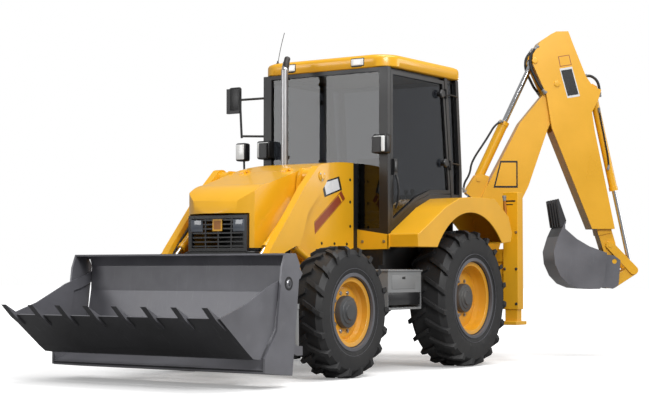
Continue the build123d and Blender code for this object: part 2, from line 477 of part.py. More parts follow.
# ================================================================ rear frame and stabilisers
rear_frame = both(block(LEG_X0, LEG_X1, LEG_Y0, LEG_Y1, LEG_BOTTOM, LEG_TOP))
LEG_WALL = 14.0
rear_frame -= both(block(LEG_X0 + LEG_WALL, LEG_X1 - LEG_WALL, LEG_Y0 + LEG_WALL, LEG_Y1 - LEG_WALL, 0, LEG_TOP - LEG_WALL))
RAILS = ((560.0, 700.0), (1080.0, 1220.0))       # lower and upper side-shift rail, z from and to
for z0, z1 in RAILS:
    rear_frame += block(LEG_X0 + 20, LEG_X1 - 20, -LEG_Y0, LEG_Y0, z0, z1)
rear_frame += both(block(LEG_X1 - 60, LEG_X1 - 40, 300, LEG_Y0, 700, 1080))
rear_frame += both(block(LEG_X1 - 20, RAIL_X0, RAIL_IN, RAIL_OUT, RAIL_Z0, RAIL_Z1 + 200))
rear_frame += both(block(LEG_X1 - 60, LEG_X1 - 20, RAIL_IN, RAIL_OUT, RAIL_Z0, 1080))
nodes["rear_frame"] = rear_frame
inner_gap = LEG_WALL + GAP
leg = block(LEG_X0 + inner_gap, LEG_X1 - inner_gap, LEG_Y0 + inner_gap, LEG_Y1 - inner_gap, 430, LEG_TOP - 60)
leg += block(LEG_X0 - 60, LEG_X1 + 60, LEG_Y0 - 40, LEG_Y1 + 10, 390, 430)
nodes["stabiliser_leg_left"] = leg
nodes["stabiliser_leg_right"] = mirror(leg, about=Plane.XZ)

PLATE_X = -1245.0        # rear face of the carriage plate
carriage = block(PLATE_X, LEG_X0 + 20 - GAP, -300, 300, 540, 1240)
carriage += block(PLATE_X, LEG_X1, -300, 300, 1220 + GAP, 1250)
for z0, z1 in ((600, 680), (1100, 1180)):
    lug = block(SLEW_X, PLATE_X, -90, 90, z0, z1) + Pos(SLEW_X, 0, (z0 + z1) / 2) * Cylinder(90, z1 - z0)
    carriage += lug
carriage += Pos(SLEW_X, 0, (560 + 1220) / 2) * Cylinder(40, 660)
nodes["side_shift_carriage"] = carriage

SWING = Pos(SLEW_X, 0, 0) * Rot(0, 0, 180 - SLEW_DEG)
post_half = BOOM_HALF + 5
kingpost = Pos(0, 0, 890) * Cylinder(95, 400)
for sign in (-1, 1):
    y0, y1 = sorted((sign * post_half, sign * (post_half + 30)))
    kingpost += plate([(30, 690), (30, 1060), (130, 1085), (200, 1085), (440, 860), (440, 740), (330, 690)], y0, y1)
kingpost += block(30, 105, -post_half, post_half, 690, 960)
kingpost += disc(BOOM_FOOT, PIN_R, -post_half - 30, post_half + 30)
kingpost += disc(BOOM_RAM_BASE, PIN_R, -post_half - 30, post_half + 30)
kingpost += Pos(0, 0, 890) * Cylinder(70, 2 * (210 - GAP))
kingpost -= Pos(0, 0, 890) * Cylinder(40 + FIT, 500)
kingpost += disc(BOOM_RAM_BASE, BOSS_R, 57 + GAP, post_half) + disc(BOOM_RAM_BASE, BOSS_R, -post_half, -57 - GAP)
nodes["kingpost"] = SWING * kingpost

# ================================================================ boom, dipper, scoop
boom_outline = [(270, 780), (255, 1180), (330, 1560), (395, 1850), (835, 2680), (1100, 3000), (1150, 3170), (1300, 3220),
                (1360, 3080), (1150, 2600), (925, 1950), (600, 1300), (450, 780)]
boom = plate(boom_outline, -BOOM_HALF, BOOM_HALF)
boom += disc(BOOM_FOOT, 92, -BOOM_HALF - RUN + GAP, BOOM_HALF + RUN - GAP)
boom += disc(ELBOW, 80, -BOOM_HALF - RUN + GAP, BOOM_HALF + RUN - GAP)
boom -= disc(BOOM_FOOT, PIN_R + FIT, -300, 300) + disc(ELBOW, PIN_R + 7 + FIT, -300, 300)
LUG_IN, LUG_OUT = 57.0 + GAP, 82.0
for sign in (-1, 1):
    y0, y1 = sorted((sign * LUG_IN, sign * LUG_OUT))
    boom += plate([(480, 2060), (380, 2095), (320, 2080), (225, 1930), (210, 1870), (260, 1830), (380, 1700)], y0, y1)
boom += disc(CROWD_BASE, PIN_R, -LUG_OUT - 8, LUG_OUT + 8)
nodes["boom"] = SWING * boom

dipper_outline = [(1190, 3700), (1250, 3730), (1390, 3735), (1440, 3600), (1590, 3220), (1670, 3100), (1770, 3060), (1740, 2960),
                  (1660, 2800), (1690, 2590), (1915, 1460), (1650, 1460), (1190, 2620), (1130, 3000), (975, 3350), (975, 3460),
                  (1070, 3620)]
dipper = plate(dipper_outline, -DIPPER_HALF, DIPPER_HALF)
cheeks = plate([(850, 2560), (850, 3560), (1080, 3560), (1130, 3420), (1340, 3420), (1480, 3100), (1400, 2900), (1200, 2560)],
               -BOOM_HALF - RUN, BOOM_HALF + RUN)
dipper -= cheeks
WAY = Vector(0.1974, 0, -0.9803)
way_side = Vector(0.9803, 0, 0.1974)
TUBE_HALF_DEEP, TUBE_HALF_WIDE = 82.0, 116.0
tube_plane = Plane(origin=(1802, 0, 1460), x_dir=way_side, z_dir=WAY)
tunnel = extrude(tube_plane * Rectangle(2 * (TUBE_HALF_DEEP + GAP), 2 * (TUBE_HALF_WIDE + GAP)), 60)
tunnel += extrude(tube_plane * Rectangle(2 * (TUBE_HALF_DEEP + GAP), 2 * (TUBE_HALF_WIDE + GAP)), -1700)
dipper -= tunnel
BRACKET = [(1470, 2860), (1530, 3080), (1640, 3130), (1690, 3140), (1745, 3110), (1745, 3050), (1640, 2960), (1560, 2860)]
BRACKET_HALF = 70.0
groove = plate(BRACKET, -BRACKET_HALF - RUN, BRACKET_HALF + RUN)
groove += plate([(1530, 3200), (1900, 3210), (2000, 1900), (1700, 1900), (1480, 2900)],
                -BRACKET_HALF - RUN, BRACKET_HALF + RUN)
dipper -= groove
dipper += disc(ELBOW, PIN_R + 7, -DIPPER_HALF - 8, DIPPER_HALF + 8)
for y0, y1 in ((57 + GAP, BOOM_HALF + RUN), (-BOOM_HALF - RUN, -57 - GAP)):
    dipper += disc(CROWD_EYE, BOSS_R, y0, y1)
nodes["dipper"] = SWING * dipper

inner = extrude(tube_plane * Rectangle(2 * TUBE_HALF_DEEP, 2 * TUBE_HALF_WIDE), -1500)
inner += plate(BRACKET, -BRACKET_HALF, BRACKET_HALF)
inner -= disc(SCOOP_RAM_BASE, 62, -46 - GAP, 46 + GAP)
inner -= plate([(1640, 3040), (1700, 3140), (1900, 3100), (1850, 2700), (1700, 2700)], -46 - GAP, 46 + GAP)
inner += disc(SCOOP_RAM_BASE, PIN_R, -BRACKET_HALF, BRACKET_HALF)
inner += extrude(tube_plane * Rectangle(2 * TUBE_HALF_DEEP, 2 * TUBE_HALF_WIDE), 60)
snout = plate([(1735, 1405), (1895, 1437), (1935, 1300), (1975, 1060), (1905, 1020), (1840, 1060)], -100, 100)
inner += snout + disc(SCOOP_PIN, 70, -100, 100)
inner += disc(SCOOP_PIN, PIN_R, -165, 165) + disc(LEVER_PIN, PIN_R, -135, 135)
inner += disc(LEVER_PIN, BOSS_R, -106, 106)
nodes["inner_dipper"] = SWING * inner

LEVER_IN, LINK_IN = 106.0, 52.0
lever = link(LEVER_PIN, 46, KNEE_PIN, 50, LEVER_IN + GAP, LEVER_IN + 24) - disc(LEVER_PIN, PIN_R + FIT, -200, 200)
lever += disc(KNEE_PIN, PIN_R, 46 + GAP, LEVER_IN + 24)
lever = both(lever)
nodes["tipping_lever"] = SWING * lever
tip_link = link(KNEE_PIN, 55, LINK_PIN, 60, LINK_IN, LEVER_IN) + link(KNEE_PIN, 55, LINK_PIN, 60, -LEVER_IN, -LINK_IN)
tip_link -= disc(KNEE_PIN, PIN_R + FIT, -200, 200)
tip_link += disc(LINK_PIN, 40, -LEVER_IN, LEVER_IN)
nodes["tipping_link"] = SWING * tip_link

SCOOP_SKIN = 16.0
SCOOP_SHELL = [(1305, 1540), (1225, 1370), (1172, 1200), (1185, 1060), (1245, 925), (1335, 830), (1452, 782), (1580, 772),
               (1700, 776), (1745, 830), (1768, 1000), (1785, 1185)]
SCOOP_MOUTH = [(1582, 1259), (1439, 1343), (1308, 1457)]
scoop = plate(fold(SCOOP_SHELL, SCOOP_SKIN), -SCOOP_HALF, SCOOP_HALF)
scoop += both(plate(SCOOP_SHELL + SCOOP_MOUTH, SCOOP_HALF - SCOOP_SKIN, SCOOP_HALF))
scoop_ear = plate([(1740, 850), (1728, 800), (1885, 775), (1950, 820), (1975, 1100), (1905, 1155), (1778, 1170), (1760, 1000)], 140, 168)
scoop_ear += disc(SCOOP_PIN, 38, 100 + GAP, 140) + disc(LINK_PIN, 40, LEVER_IN + GAP, 140)
scoop += both(scoop_ear)
scoop -= disc(SCOOP_PIN, PIN_R + FIT, -400, 400)
SCOOP_TEETH = 5
for index in range(SCOOP_TEETH):
    y = -SCOOP_HALF + 40 + index * (2 * SCOOP_HALF - 80) / (SCOOP_TEETH - 1)
    scoop += plate([(1296, 1480), (1258, 1480), (1212, 1790), (1236, 1800), (1322, 1550), (1312, 1530)], y - 28, y + 28)
nodes["hoe_bucket"] = SWING * scoop

boom_barrel, boom_rod = ram(BOOM_RAM_BASE, BOOM_RAM_EYE, 0, 40, 28, 720, 300, 57)
crowd_barrel, crowd_rod = ram(CROWD_BASE, CROWD_EYE, 0, 55, 32, 740, 560, 57)
scoop_barrel, scoop_rod = ram(SCOOP_RAM_BASE, KNEE_PIN, 0, 46, 25, 1200, 900, 46)
for name, shape in (("boom_ram_barrel", boom_barrel), ("boom_ram_rod", boom_rod), ("crowd_ram_barrel", crowd_barrel),
                    ("crowd_ram_rod", crowd_rod), ("scoop_ram_barrel", scoop_barrel), ("scoop_ram_rod", scoop_rod)):
    nodes[name] = SWING * shape

# ================================================================ origin and files
whole = Compound(children=[Compound(shape.solids()) for shape in nodes.values()]).bounding_box()
middle = whole.center()
shift = Pos(-middle.X, -middle.Y, -whole.min.Z)
os.makedirs("parts", exist_ok=True)
for name, shape in nodes.items():
    export_step(shift * Compound(shape.solids()), f"parts/{name}.step")
print("origin moved by", -middle.X, -middle.Y, -whole.min.Z)
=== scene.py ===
"""Looks of a backhoe loader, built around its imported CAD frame."""

import json
import logging
import math
from dataclasses import dataclass, field
from enum import Enum
from typing import Any, Callable, Iterable, Sequence

import bmesh
import bpy
from mathutils import Matrix, Vector

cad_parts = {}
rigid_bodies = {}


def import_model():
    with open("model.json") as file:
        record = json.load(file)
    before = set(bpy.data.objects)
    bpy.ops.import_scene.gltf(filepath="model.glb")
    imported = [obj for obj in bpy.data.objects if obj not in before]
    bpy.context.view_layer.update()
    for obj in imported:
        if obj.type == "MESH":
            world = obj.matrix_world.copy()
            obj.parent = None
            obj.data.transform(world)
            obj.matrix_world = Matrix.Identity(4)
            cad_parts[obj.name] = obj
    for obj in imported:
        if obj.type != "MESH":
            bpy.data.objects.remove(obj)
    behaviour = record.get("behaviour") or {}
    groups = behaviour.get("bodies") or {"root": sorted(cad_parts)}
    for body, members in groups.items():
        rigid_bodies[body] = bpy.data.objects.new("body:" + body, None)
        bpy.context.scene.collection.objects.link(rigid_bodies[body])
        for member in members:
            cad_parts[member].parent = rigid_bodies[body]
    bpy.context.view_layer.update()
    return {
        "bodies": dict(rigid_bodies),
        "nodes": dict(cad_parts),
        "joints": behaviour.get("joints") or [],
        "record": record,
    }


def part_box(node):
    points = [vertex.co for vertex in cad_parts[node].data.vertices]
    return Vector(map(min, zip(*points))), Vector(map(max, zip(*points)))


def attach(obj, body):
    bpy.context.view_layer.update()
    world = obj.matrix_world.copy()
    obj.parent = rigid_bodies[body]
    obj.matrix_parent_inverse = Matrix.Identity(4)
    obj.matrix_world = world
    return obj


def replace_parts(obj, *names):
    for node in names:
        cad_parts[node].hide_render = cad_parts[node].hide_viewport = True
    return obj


LOG = logging.getLogger("backhoe_loader")
Colour = tuple[float, float, float]
Point = tuple[float, float, float]
Profile = Sequence[tuple[float, float]]
Dressing = Iterable[tuple[str, "Finish", float]]
WHITE = (1.0, 1.0, 1.0, 1.0)
UP = Vector((0, 0, 1))
FRAME: dict[str, Any] = {}

ROUGH_SPREAD = 0.15       # share by which the tone pattern moves the roughness
BUMP_DEPTH = 0.002
COAT_ROUGH = 0.08
DUST_ROUGH = 0.9
WELD = 1e-5               # points closer than this are one
FLAT_ANGLE = 0.4          # degrees under which neighbouring faces become one
SHARP_ANGLE = 32.0        # degrees from which an edge stays sharp
PAD_ANGLE = 40.0
ROUND_ANGLE = 25.0        # the same on tyres and rims
CROWN_ANGLE = 46.0        # the same on the crowned bonnet and cowl
ROOF_ANGLE = 50.0
WASHER_DEPTH = 0.004
HEAD_SHARE = 0.7          # height of a bolt's head as a share of its radius
WASHER_SHARE = 1.4        # radius of its washer as a share of the head's
GUIDE_SIZE = 0.001
CUSHION_VOXEL = 0.007
CUSHION_EDGE = 0.028
CUSHION_PRESSURE = 4.0
CUSHION_FRAMES = 20
CHANNELS = (0.24, 0.5, 0.76)
CHANNEL_WIDTH = 0.016
CHANNEL_DEPTH = 0.007


class Side(Enum):
    """Left and right of the machine, as the sign of Y."""

    LEFT = 1
    RIGHT = -1

    @property
    def word(self) -> str:
        """Name of the side as the frame's nodes spell it."""
        return self.name.lower()

    @property
    def out(self) -> Vector:
        """Direction away from the middle plane."""
        return Vector((0, self.value, 0))

    def span(self, near: float, far: float) -> tuple[float, float]:
        """Lower and higher Y of two distances from the middle plane."""
        low, high = sorted((self.value * near, self.value * far))
        return low, high


# ------------------------------------------------------------------ shader helpers
class Nodes:
    """Small builder for node trees of materials and groups."""

    def __init__(self, tree: bpy.types.NodeTree) -> None:
        """Wrap a tree.

        Args:
            tree: The material's or group's node tree.
        """
        self.tree = tree

    def add(self, kind: str, **settings: object) -> bpy.types.Node:
        """Add a node and set its attributes.

        Args:
            kind: Class name of the node, without the Shader Node prefix.
            settings: Attributes to set on the node.

        Returns:
            The new node.
        """
        node = self.tree.nodes.new("ShaderNode" + kind)
        for name, value in settings.items():
            setattr(node, name, value)
        return node

    def join(self, source: bpy.types.NodeSocket, target: bpy.types.NodeSocket) -> None:
        """Link two sockets."""
        self.tree.links.new(source, target)

    def ramp(self, value: bpy.types.NodeSocket, low: float, high: float,
             out_low: float = 0.0, out_high: float = 1.0) -> bpy.types.NodeSocket:
        """Clamp and stretch a value from one range to another.

        Args:
            value: Socket to stretch.
            low: Value that becomes out_low.
            high: Value that becomes out_high.
            out_low: Start of the new range.
            out_high: End of the new range.

        Returns:
            The stretched socket.
        """
        node = self.add("MapRange")
        for name, number in (("From Min", low), ("From Max", high), ("To Min", out_low), ("To Max", out_high)):
            node.inputs[name].default_value = number
        self.join(value, node.inputs["Value"])
        return node.outputs["Result"]

    def maths(self, operation: str, first: bpy.types.NodeSocket | float,
              second: bpy.types.NodeSocket | float) -> bpy.types.NodeSocket:
        """Combine two numbers or sockets with a Math node.

        Args:
            operation: Operation of the node.
            first: First number or socket.
            second: Second number or socket.

        Returns:
            The resulting socket.
        """
        node = self.add("Math", operation=operation)
        for index, value in enumerate((first, second)):
            if isinstance(value, (int, float)):
                node.inputs[index].default_value = value
            else:
                self.join(value, node.inputs[index])
        return node.outputs[0]

    def mix(self, factor: bpy.types.NodeSocket | float, first: Colour | bpy.types.NodeSocket,
            second: Colour | bpy.types.NodeSocket, blend: str = "MIX") -> bpy.types.NodeSocket:
        """Mix two colours.

        Args:
            factor: Amount of the second colour.
            first: Colour or socket where the factor is 0.
            second: Colour or socket where the factor is 1.
            blend: Blend mode of the mix.

        Returns:
            The resulting colour socket.
        """
        node = self.add("Mix", data_type="RGBA", blend_type=blend)
        for socket, value in ((node.inputs[0], factor), (node.inputs[6], first), (node.inputs[7], second)):
            if isinstance(value, tuple):
                socket.default_value = (*value, 1.0)
            elif isinstance(value, (int, float)):
                socket.default_value = value
            else:
                self.join(value, socket)
        return node.outputs[2]


def group_tree(name: str, inputs: dict[str, float], outputs: Iterable[tuple[str, str]]) -> bpy.types.NodeTree:
    """Make an empty shader group with named sockets.

    Args:
        name: Name of the group.
        inputs: Float inputs and their defaults.
        outputs: Pairs of output name and socket type.

    Returns:
        The group's tree, with a vector input called Vector first.
    """
    tree = bpy.data.node_groups.new(name, "ShaderNodeTree")
    tree.interface.new_socket("Vector", in_out="INPUT", socket_type="NodeSocketVector")
    for label, value in inputs.items():
        socket = tree.interface.new_socket(label, in_out="INPUT", socket_type="NodeSocketFloat")
        socket.default_value = value
    for label, kind in outputs:
        tree.interface.new_socket(label, in_out="OUTPUT", socket_type=kind)
    return tree


class Effects:
    """Shader groups that several finishes share."""

    def __init__(self) -> None:
        """Build every group once."""
        self.dust = self._dust()
        self.scuffs = self._scuffs()
        self.grain = self._grain()

    @staticmethod
    def _dust() -> bpy.types.NodeTree:
        """Road dust: a mask that is strongest near the ground and in broken patches."""
        tree = group_tree("RoadDust", {"Reach": 1.2, "Amount": 0.5, "Patch Scale": 3.0}, [("Mask", "NodeSocketFloat")])
        kit = Nodes(tree)
        source, sink = tree.nodes.new("NodeGroupInput"), tree.nodes.new("NodeGroupOutput")
        split = kit.add("SeparateXYZ")
        kit.join(source.outputs["Vector"], split.inputs[0])
        height = kit.maths("DIVIDE", split.outputs["Z"], source.outputs["Reach"])
        low = kit.ramp(height, 0.0, 1.0, 1.0, 0.0)
        patch = kit.add("TexNoise")
        patch.inputs["Detail"].default_value = 5.0
        kit.join(source.outputs["Vector"], patch.inputs["Vector"])
        kit.join(source.outputs["Patch Scale"], patch.inputs["Scale"])
        broken = kit.ramp(patch.outputs["Fac"], 0.35, 0.72)
        mask = kit.maths("MULTIPLY", kit.maths("MULTIPLY", low, broken), source.outputs["Amount"])
        kit.join(mask, sink.inputs["Mask"])
        return tree

    @staticmethod
    def _scuffs() -> bpy.types.NodeTree:
        """Long thin scratches and rubbed patches."""
        tree = group_tree("Scuffs", {"Scale": 5.0, "Stretch": 14.0, "Threshold": 0.62}, [("Mask", "NodeSocketFloat")])
        kit = Nodes(tree)
        source, sink = tree.nodes.new("NodeGroupInput"), tree.nodes.new("NodeGroupOutput")
        split, merge = kit.add("SeparateXYZ"), kit.add("CombineXYZ")
        kit.join(source.outputs["Vector"], split.inputs[0])
        kit.join(split.outputs["X"], merge.inputs["X"])
        kit.join(kit.maths("MULTIPLY", split.outputs["Y"], source.outputs["Stretch"]), merge.inputs["Y"])
        kit.join(split.outputs["Z"], merge.inputs["Z"])
        streak = kit.add("TexNoise")
        streak.inputs["Detail"].default_value = 6.0
        kit.join(merge.outputs[0], streak.inputs["Vector"])
        kit.join(source.outputs["Scale"], streak.inputs["Scale"])
        over = kit.maths("SUBTRACT", streak.outputs["Fac"], source.outputs["Threshold"])
        kit.join(kit.ramp(over, 0.0, 0.07), sink.inputs["Mask"])
        return tree

    @staticmethod
    def _grain() -> bpy.types.NodeTree:
        """Fine surface unevenness: a height and a tone that vary together."""
        tree = group_tree("FineGrain", {"Scale": 90.0, "Broad Scale": 2.2},
                          [("Height", "NodeSocketFloat"), ("Tone", "NodeSocketFloat")])
        kit = Nodes(tree)
        source, sink = tree.nodes.new("NodeGroupInput"), tree.nodes.new("NodeGroupOutput")
        fine, broad = kit.add("TexNoise"), kit.add("TexNoise")
        fine.inputs["Detail"].default_value, broad.inputs["Detail"].default_value = 3.0, 4.0
        for node, label in ((fine, "Scale"), (broad, "Broad Scale")):
            kit.join(source.outputs["Vector"], node.inputs["Vector"])
            kit.join(source.outputs[label], node.inputs["Scale"])
        kit.join(fine.outputs["Fac"], sink.inputs["Height"])
        kit.join(kit.ramp(broad.outputs["Fac"], 0.3, 0.7), sink.inputs["Tone"])
        return tree


@dataclass(frozen=True)
class Finish:
    """A surface finish: its colours, its sheen and how the shared effects show on it."""

    name: str
    slot: str
    colour: Colour
    rough: float
    metallic: float = 0.0
    coat: float = 0.0
    tone: float = 0.06
    bump: float = 0.08
    grain: float = 90.0
    dust: float = 0.0
    dust_reach: float = 1.4
    dust_colour: Colour = (0.33, 0.27, 0.19)
    scuff: float = 0.0
    scuff_colour: Colour = (0.45, 0.45, 0.44)
    transmission: float = 0.0
    sheen: float = 0.0

    def material(self, effects: Effects) -> bpy.types.Material:
        """Make the material, once for each finish.

        Args:
            effects: The shared shader groups.

        Returns:
            The material.
        """
        found = bpy.data.materials.get(self.name)
        if found:
            return found
        material = bpy.data.materials.new(self.name)
        material.use_nodes = True
        kit = Nodes(material.node_tree)
        shader = material.node_tree.nodes["Principled BSDF"]
        place = kit.add("TexCoord").outputs["Object"]
        grain = kit.add("Group", node_tree=effects.grain)
        grain.inputs["Scale"].default_value = self.grain
        kit.join(place, grain.inputs["Vector"])
        darker: Colour = tuple(max(0.0, c * (1 - self.tone)) for c in self.colour)
        lighter: Colour = tuple(min(1.0, c * (1 + self.tone)) for c in self.colour)
        colour = kit.mix(grain.outputs["Tone"], darker, lighter)
        rough = kit.ramp(grain.outputs["Tone"], 0.0, 1.0, self.rough * (1 - ROUGH_SPREAD),
                         min(1.0, self.rough * (1 + ROUGH_SPREAD)))
        if self.scuff:
            scuffs = kit.add("Group", node_tree=effects.scuffs)
            kit.join(place, scuffs.inputs["Vector"])
            amount = kit.maths("MULTIPLY", scuffs.outputs["Mask"], self.scuff)
            colour = kit.mix(amount, colour, self.scuff_colour)
        if self.dust:
            dust = kit.add("Group", node_tree=effects.dust)
            dust.inputs["Reach"].default_value = self.dust_reach
            dust.inputs["Amount"].default_value = self.dust
            kit.join(place, dust.inputs["Vector"])
            colour = kit.mix(dust.outputs["Mask"], colour, self.dust_colour)
            rough = kit.maths("MAXIMUM", rough, kit.maths("MULTIPLY", dust.outputs["Mask"], DUST_ROUGH))
        kit.join(colour, shader.inputs["Base Color"])
        kit.join(rough, shader.inputs["Roughness"])
        bump = kit.add("Bump")
        bump.inputs["Strength"].default_value = self.bump
        bump.inputs["Distance"].default_value = BUMP_DEPTH
        kit.join(grain.outputs["Height"], bump.inputs["Height"])
        kit.join(bump.outputs[0], shader.inputs["Normal"])
        for socket, value in (("Metallic", self.metallic), ("Coat Weight", self.coat), ("Coat Roughness", COAT_ROUGH),
                              ("Transmission Weight", self.transmission), ("Sheen Weight", self.sheen)):
            shader.inputs[socket].default_value = value
        return material


YELLOW = Finish("YellowPaint", "yellow_paint", (0.83, 0.42, 0.012), 0.32, coat=0.35, bump=0.03, grain=240.0, dust=0.16)
RIM_YELLOW = Finish("RimPaint", "rim_yellow", (0.80, 0.37, 0.012), 0.36, coat=0.25, bump=0.04, dust=0.35,
                    dust_reach=1.3)
BLACK = Finish("BlackSatin", "black_paint", (0.010, 0.010, 0.011), 0.36, bump=0.05, dust=0.06)
FRAME_GREY = Finish("GreySatin", "grey_paint", (0.23, 0.235, 0.24), 0.45, bump=0.05, dust=0.25)
BUCKET = Finish("BucketSteel", "bucket_grey", (0.150, 0.150, 0.166), 0.36, metallic=0.25, tone=0.18, bump=0.10,
                grain=60.0, scuff=0.22, scuff_colour=(0.22, 0.22, 0.235), dust=0.04)
# Dark steel: the real worn edges and teeth of the hoe bucket, and painted shade on the downward faces of the loader
# bucket and the clam jaw.
WORN_AND_SHADE_STEEL = Finish("WornEdgeSteel", "bucket_grey", (0.040, 0.040, 0.044), 0.42, metallic=0.3, tone=0.3, bump=0.15,
                     grain=70.0, scuff=0.25, scuff_colour=(0.16, 0.16, 0.17))
RUBBER = Finish("TyreRubber", "tyre_rubber", (0.013, 0.013, 0.014), 0.62, tone=0.25, bump=0.20, grain=130.0, dust=0.14,
                dust_reach=1.5, dust_colour=(0.085, 0.078, 0.070))
# Pale grey rubber of the raised sidewall rings: painted highlight, far lighter than the tyre's own rubber, with road
# dust.
SIDEWALL_HIGHLIGHT = Finish("SidewallRubber", "tyre_rubber", (0.105, 0.105, 0.118), 0.50, tone=0.2, bump=0.12, grain=160.0,
                  dust=0.20, dust_reach=1.5, dust_colour=(0.12, 0.11, 0.10))
SMOKED = Finish("SmokedLens", "lamp_glass", (0.10, 0.115, 0.14), 0.08, coat=0.8, bump=0.01)
CHROME = Finish("ChromeRod", "chrome_rod", (0.72, 0.73, 0.75), 0.10, metallic=1.0, tone=0.03, bump=0.01)
GLASS = Finish("TintedGlass", "tinted_glass", (0.13, 0.137, 0.15), 0.0, tone=0.02, bump=0.0, transmission=1.0)
STACK = Finish("StackSteel", "exhaust_steel", (0.50, 0.50, 0.51), 0.34, metallic=0.85, tone=0.12, bump=0.06)
PIPE = Finish("PipePaint", "yellow_paint", (0.42, 0.15, 0.012), 0.42, bump=0.05, dust=0.15)
MIRROR = Finish("MirrorGlass", "chrome_rod", (0.80, 0.82, 0.84), 0.03, metallic=1.0, tone=0.01, bump=0.0)
SEAT = Finish("SeatCloth", "seat_cover", (0.022, 0.022, 0.026), 0.85, bump=0.35, grain=420.0, sheen=0.3)
EXHAUST = Finish("HeatedSteel", "exhaust_steel", (0.045, 0.040, 0.038), 0.55, metallic=0.5, tone=0.3, bump=0.12)
LENS = Finish("LampLens", "lamp_glass", (0.88, 0.89, 0.88), 0.10, coat=0.6, bump=0.02)
HUB_GREY = Finish("HubCasting", "black_paint", (0.055, 0.058, 0.062), 0.50, tone=0.2, bump=0.25, grain=70.0, dust=0.25)
STRIPE = Finish("StripeFilm", "yellow_paint", (0.28, 0.045, 0.012), 0.35, coat=0.3, bump=0.02)
PANEL_BLACK = Finish("BlackFilm", "black_paint", (0.012, 0.012, 0.013), 0.28, coat=0.4, bump=0.01)
PLATE_WHITE = Finish("WhiteFilm", "lamp_glass", (0.72, 0.73, 0.74), 0.30, coat=0.3, bump=0.01)
HOSE = Finish("HoseRubber", "black_paint", (0.015, 0.015, 0.016), 0.55, bump=0.15, grain=200.0)
STEEL = Finish("BareSteel", "chrome_rod", (0.42, 0.42, 0.43), 0.32, metallic=1.0, tone=0.12, bump=0.06)


# ------------------------------------------------------------------ mesh helpers
def finished(obj: bpy.types.Object) -> bpy.types.Object:
    """Turn an object's modifiers into plain mesh, in place.

    Args:
        obj: Object whose modifiers are applied.

    Returns:
        The same object, without modifiers.
    """
    bpy.context.view_layer.update()
    view = bpy.context.evaluated_depsgraph_get()
    mesh = bpy.data.meshes.new_from_object(obj.evaluated_get(view))
    obj.modifiers.clear()
    obj.data = mesh
    return obj


def piece(name: str, mesh: bpy.types.Mesh, finish: Finish, effects: Effects, body: str) -> bpy.types.Object:
    """Link a mesh as a piece of the object, dressed and riding on its body.

    Args:
        name: Name of the piece.
        mesh: Its mesh, already in place.
        finish: Its finish.
        effects: The shared shader groups.
        body: CAD body that it rides on.

    Returns:
        The new object.
    """
    obj = bpy.data.objects.new(name, mesh)
    bpy.context.scene.collection.objects.link(obj)
    obj.data.materials.clear()
    obj.data.materials.append(finish.material(effects))
    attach(obj, body)
    return obj


def soften(obj: bpy.types.Object, width: float, segments: int, angle: float) -> None:
    """Round an object's sharp edges and apply the result.

    Args:
        obj: Object to round.
        width: Width of the rounding in metres.
        segments: Number of faces across it.
        angle: Smallest angle in degrees of an edge that is rounded.
    """
    mesh = obj.data
    mesh.shade_smooth()
    mesh.set_sharp_from_angle(angle=math.radians(angle))
    bevel = obj.modifiers.new("edge", "BEVEL")
    bevel.width, bevel.segments = width, segments
    bevel.limit_method, bevel.angle_limit = "ANGLE", math.radians(angle)
    bevel.use_clamp_overlap = True
    even = obj.modifiers.new("even", "WEIGHTED_NORMAL")
    even.weight, even.keep_sharp = 95, True
    finished(obj)


def fair_copy(node: str) -> bpy.types.Mesh:
    """Copy a CAD node's mesh with its triangles joined into faces.

    Args:
        node: Name of the CAD node.

    Returns:
        The new mesh.
    """
    build = bmesh.new()
    build.from_mesh(FRAME["nodes"][node].data)
    bmesh.ops.remove_doubles(build, verts=build.verts, dist=WELD)
    bmesh.ops.dissolve_degenerate(build, edges=build.edges, dist=WELD)
    bmesh.ops.dissolve_limit(build, angle_limit=math.radians(FLAT_ANGLE), verts=build.verts, edges=build.edges,
                             delimit={"NORMAL"})
    mesh = bpy.data.meshes.new(node + "_fair")
    build.to_mesh(mesh)
    build.free()
    return mesh


def from_bmesh(name: str, build: bmesh.types.BMesh, sharp: float | None = None) -> bpy.types.Mesh:
    """Turn a bmesh into a new mesh with its faces outward.

    Args:
        name: Name of the mesh.
        build: The bmesh, which is freed.
        sharp: Angle in degrees from which edges stay sharp on a smooth mesh, or None for flat faces.

    Returns:
        The mesh.
    """
    bmesh.ops.recalc_face_normals(build, faces=build.faces)
    mesh = bpy.data.meshes.new(name)
    build.to_mesh(mesh)
    build.free()
    if sharp is not None:
        mesh.shade_smooth()
        mesh.set_sharp_from_angle(angle=math.radians(sharp))
    return mesh


def bridge(build: bmesh.types.BMesh, rings: Sequence[Sequence[bmesh.types.BMVert]]) -> None:
    """Join neighbouring rings of points with faces, where a ring of one point closes the end.

    Args:
        build: The bmesh that holds the points.
        rings: The rings in order, all with as many points or with one.
    """
    count = max(len(ring) for ring in rings)
    for first, second in zip(rings, rings[1:]):
        for i in range(count):
            j = (i + 1) % count
            corners = (first[i % len(first)], first[j % len(first)], second[j % len(second)], second[i % len(second)])
            unique = list(dict.fromkeys(corners))
            if len(unique) > 2:
                build.faces.new(unique)


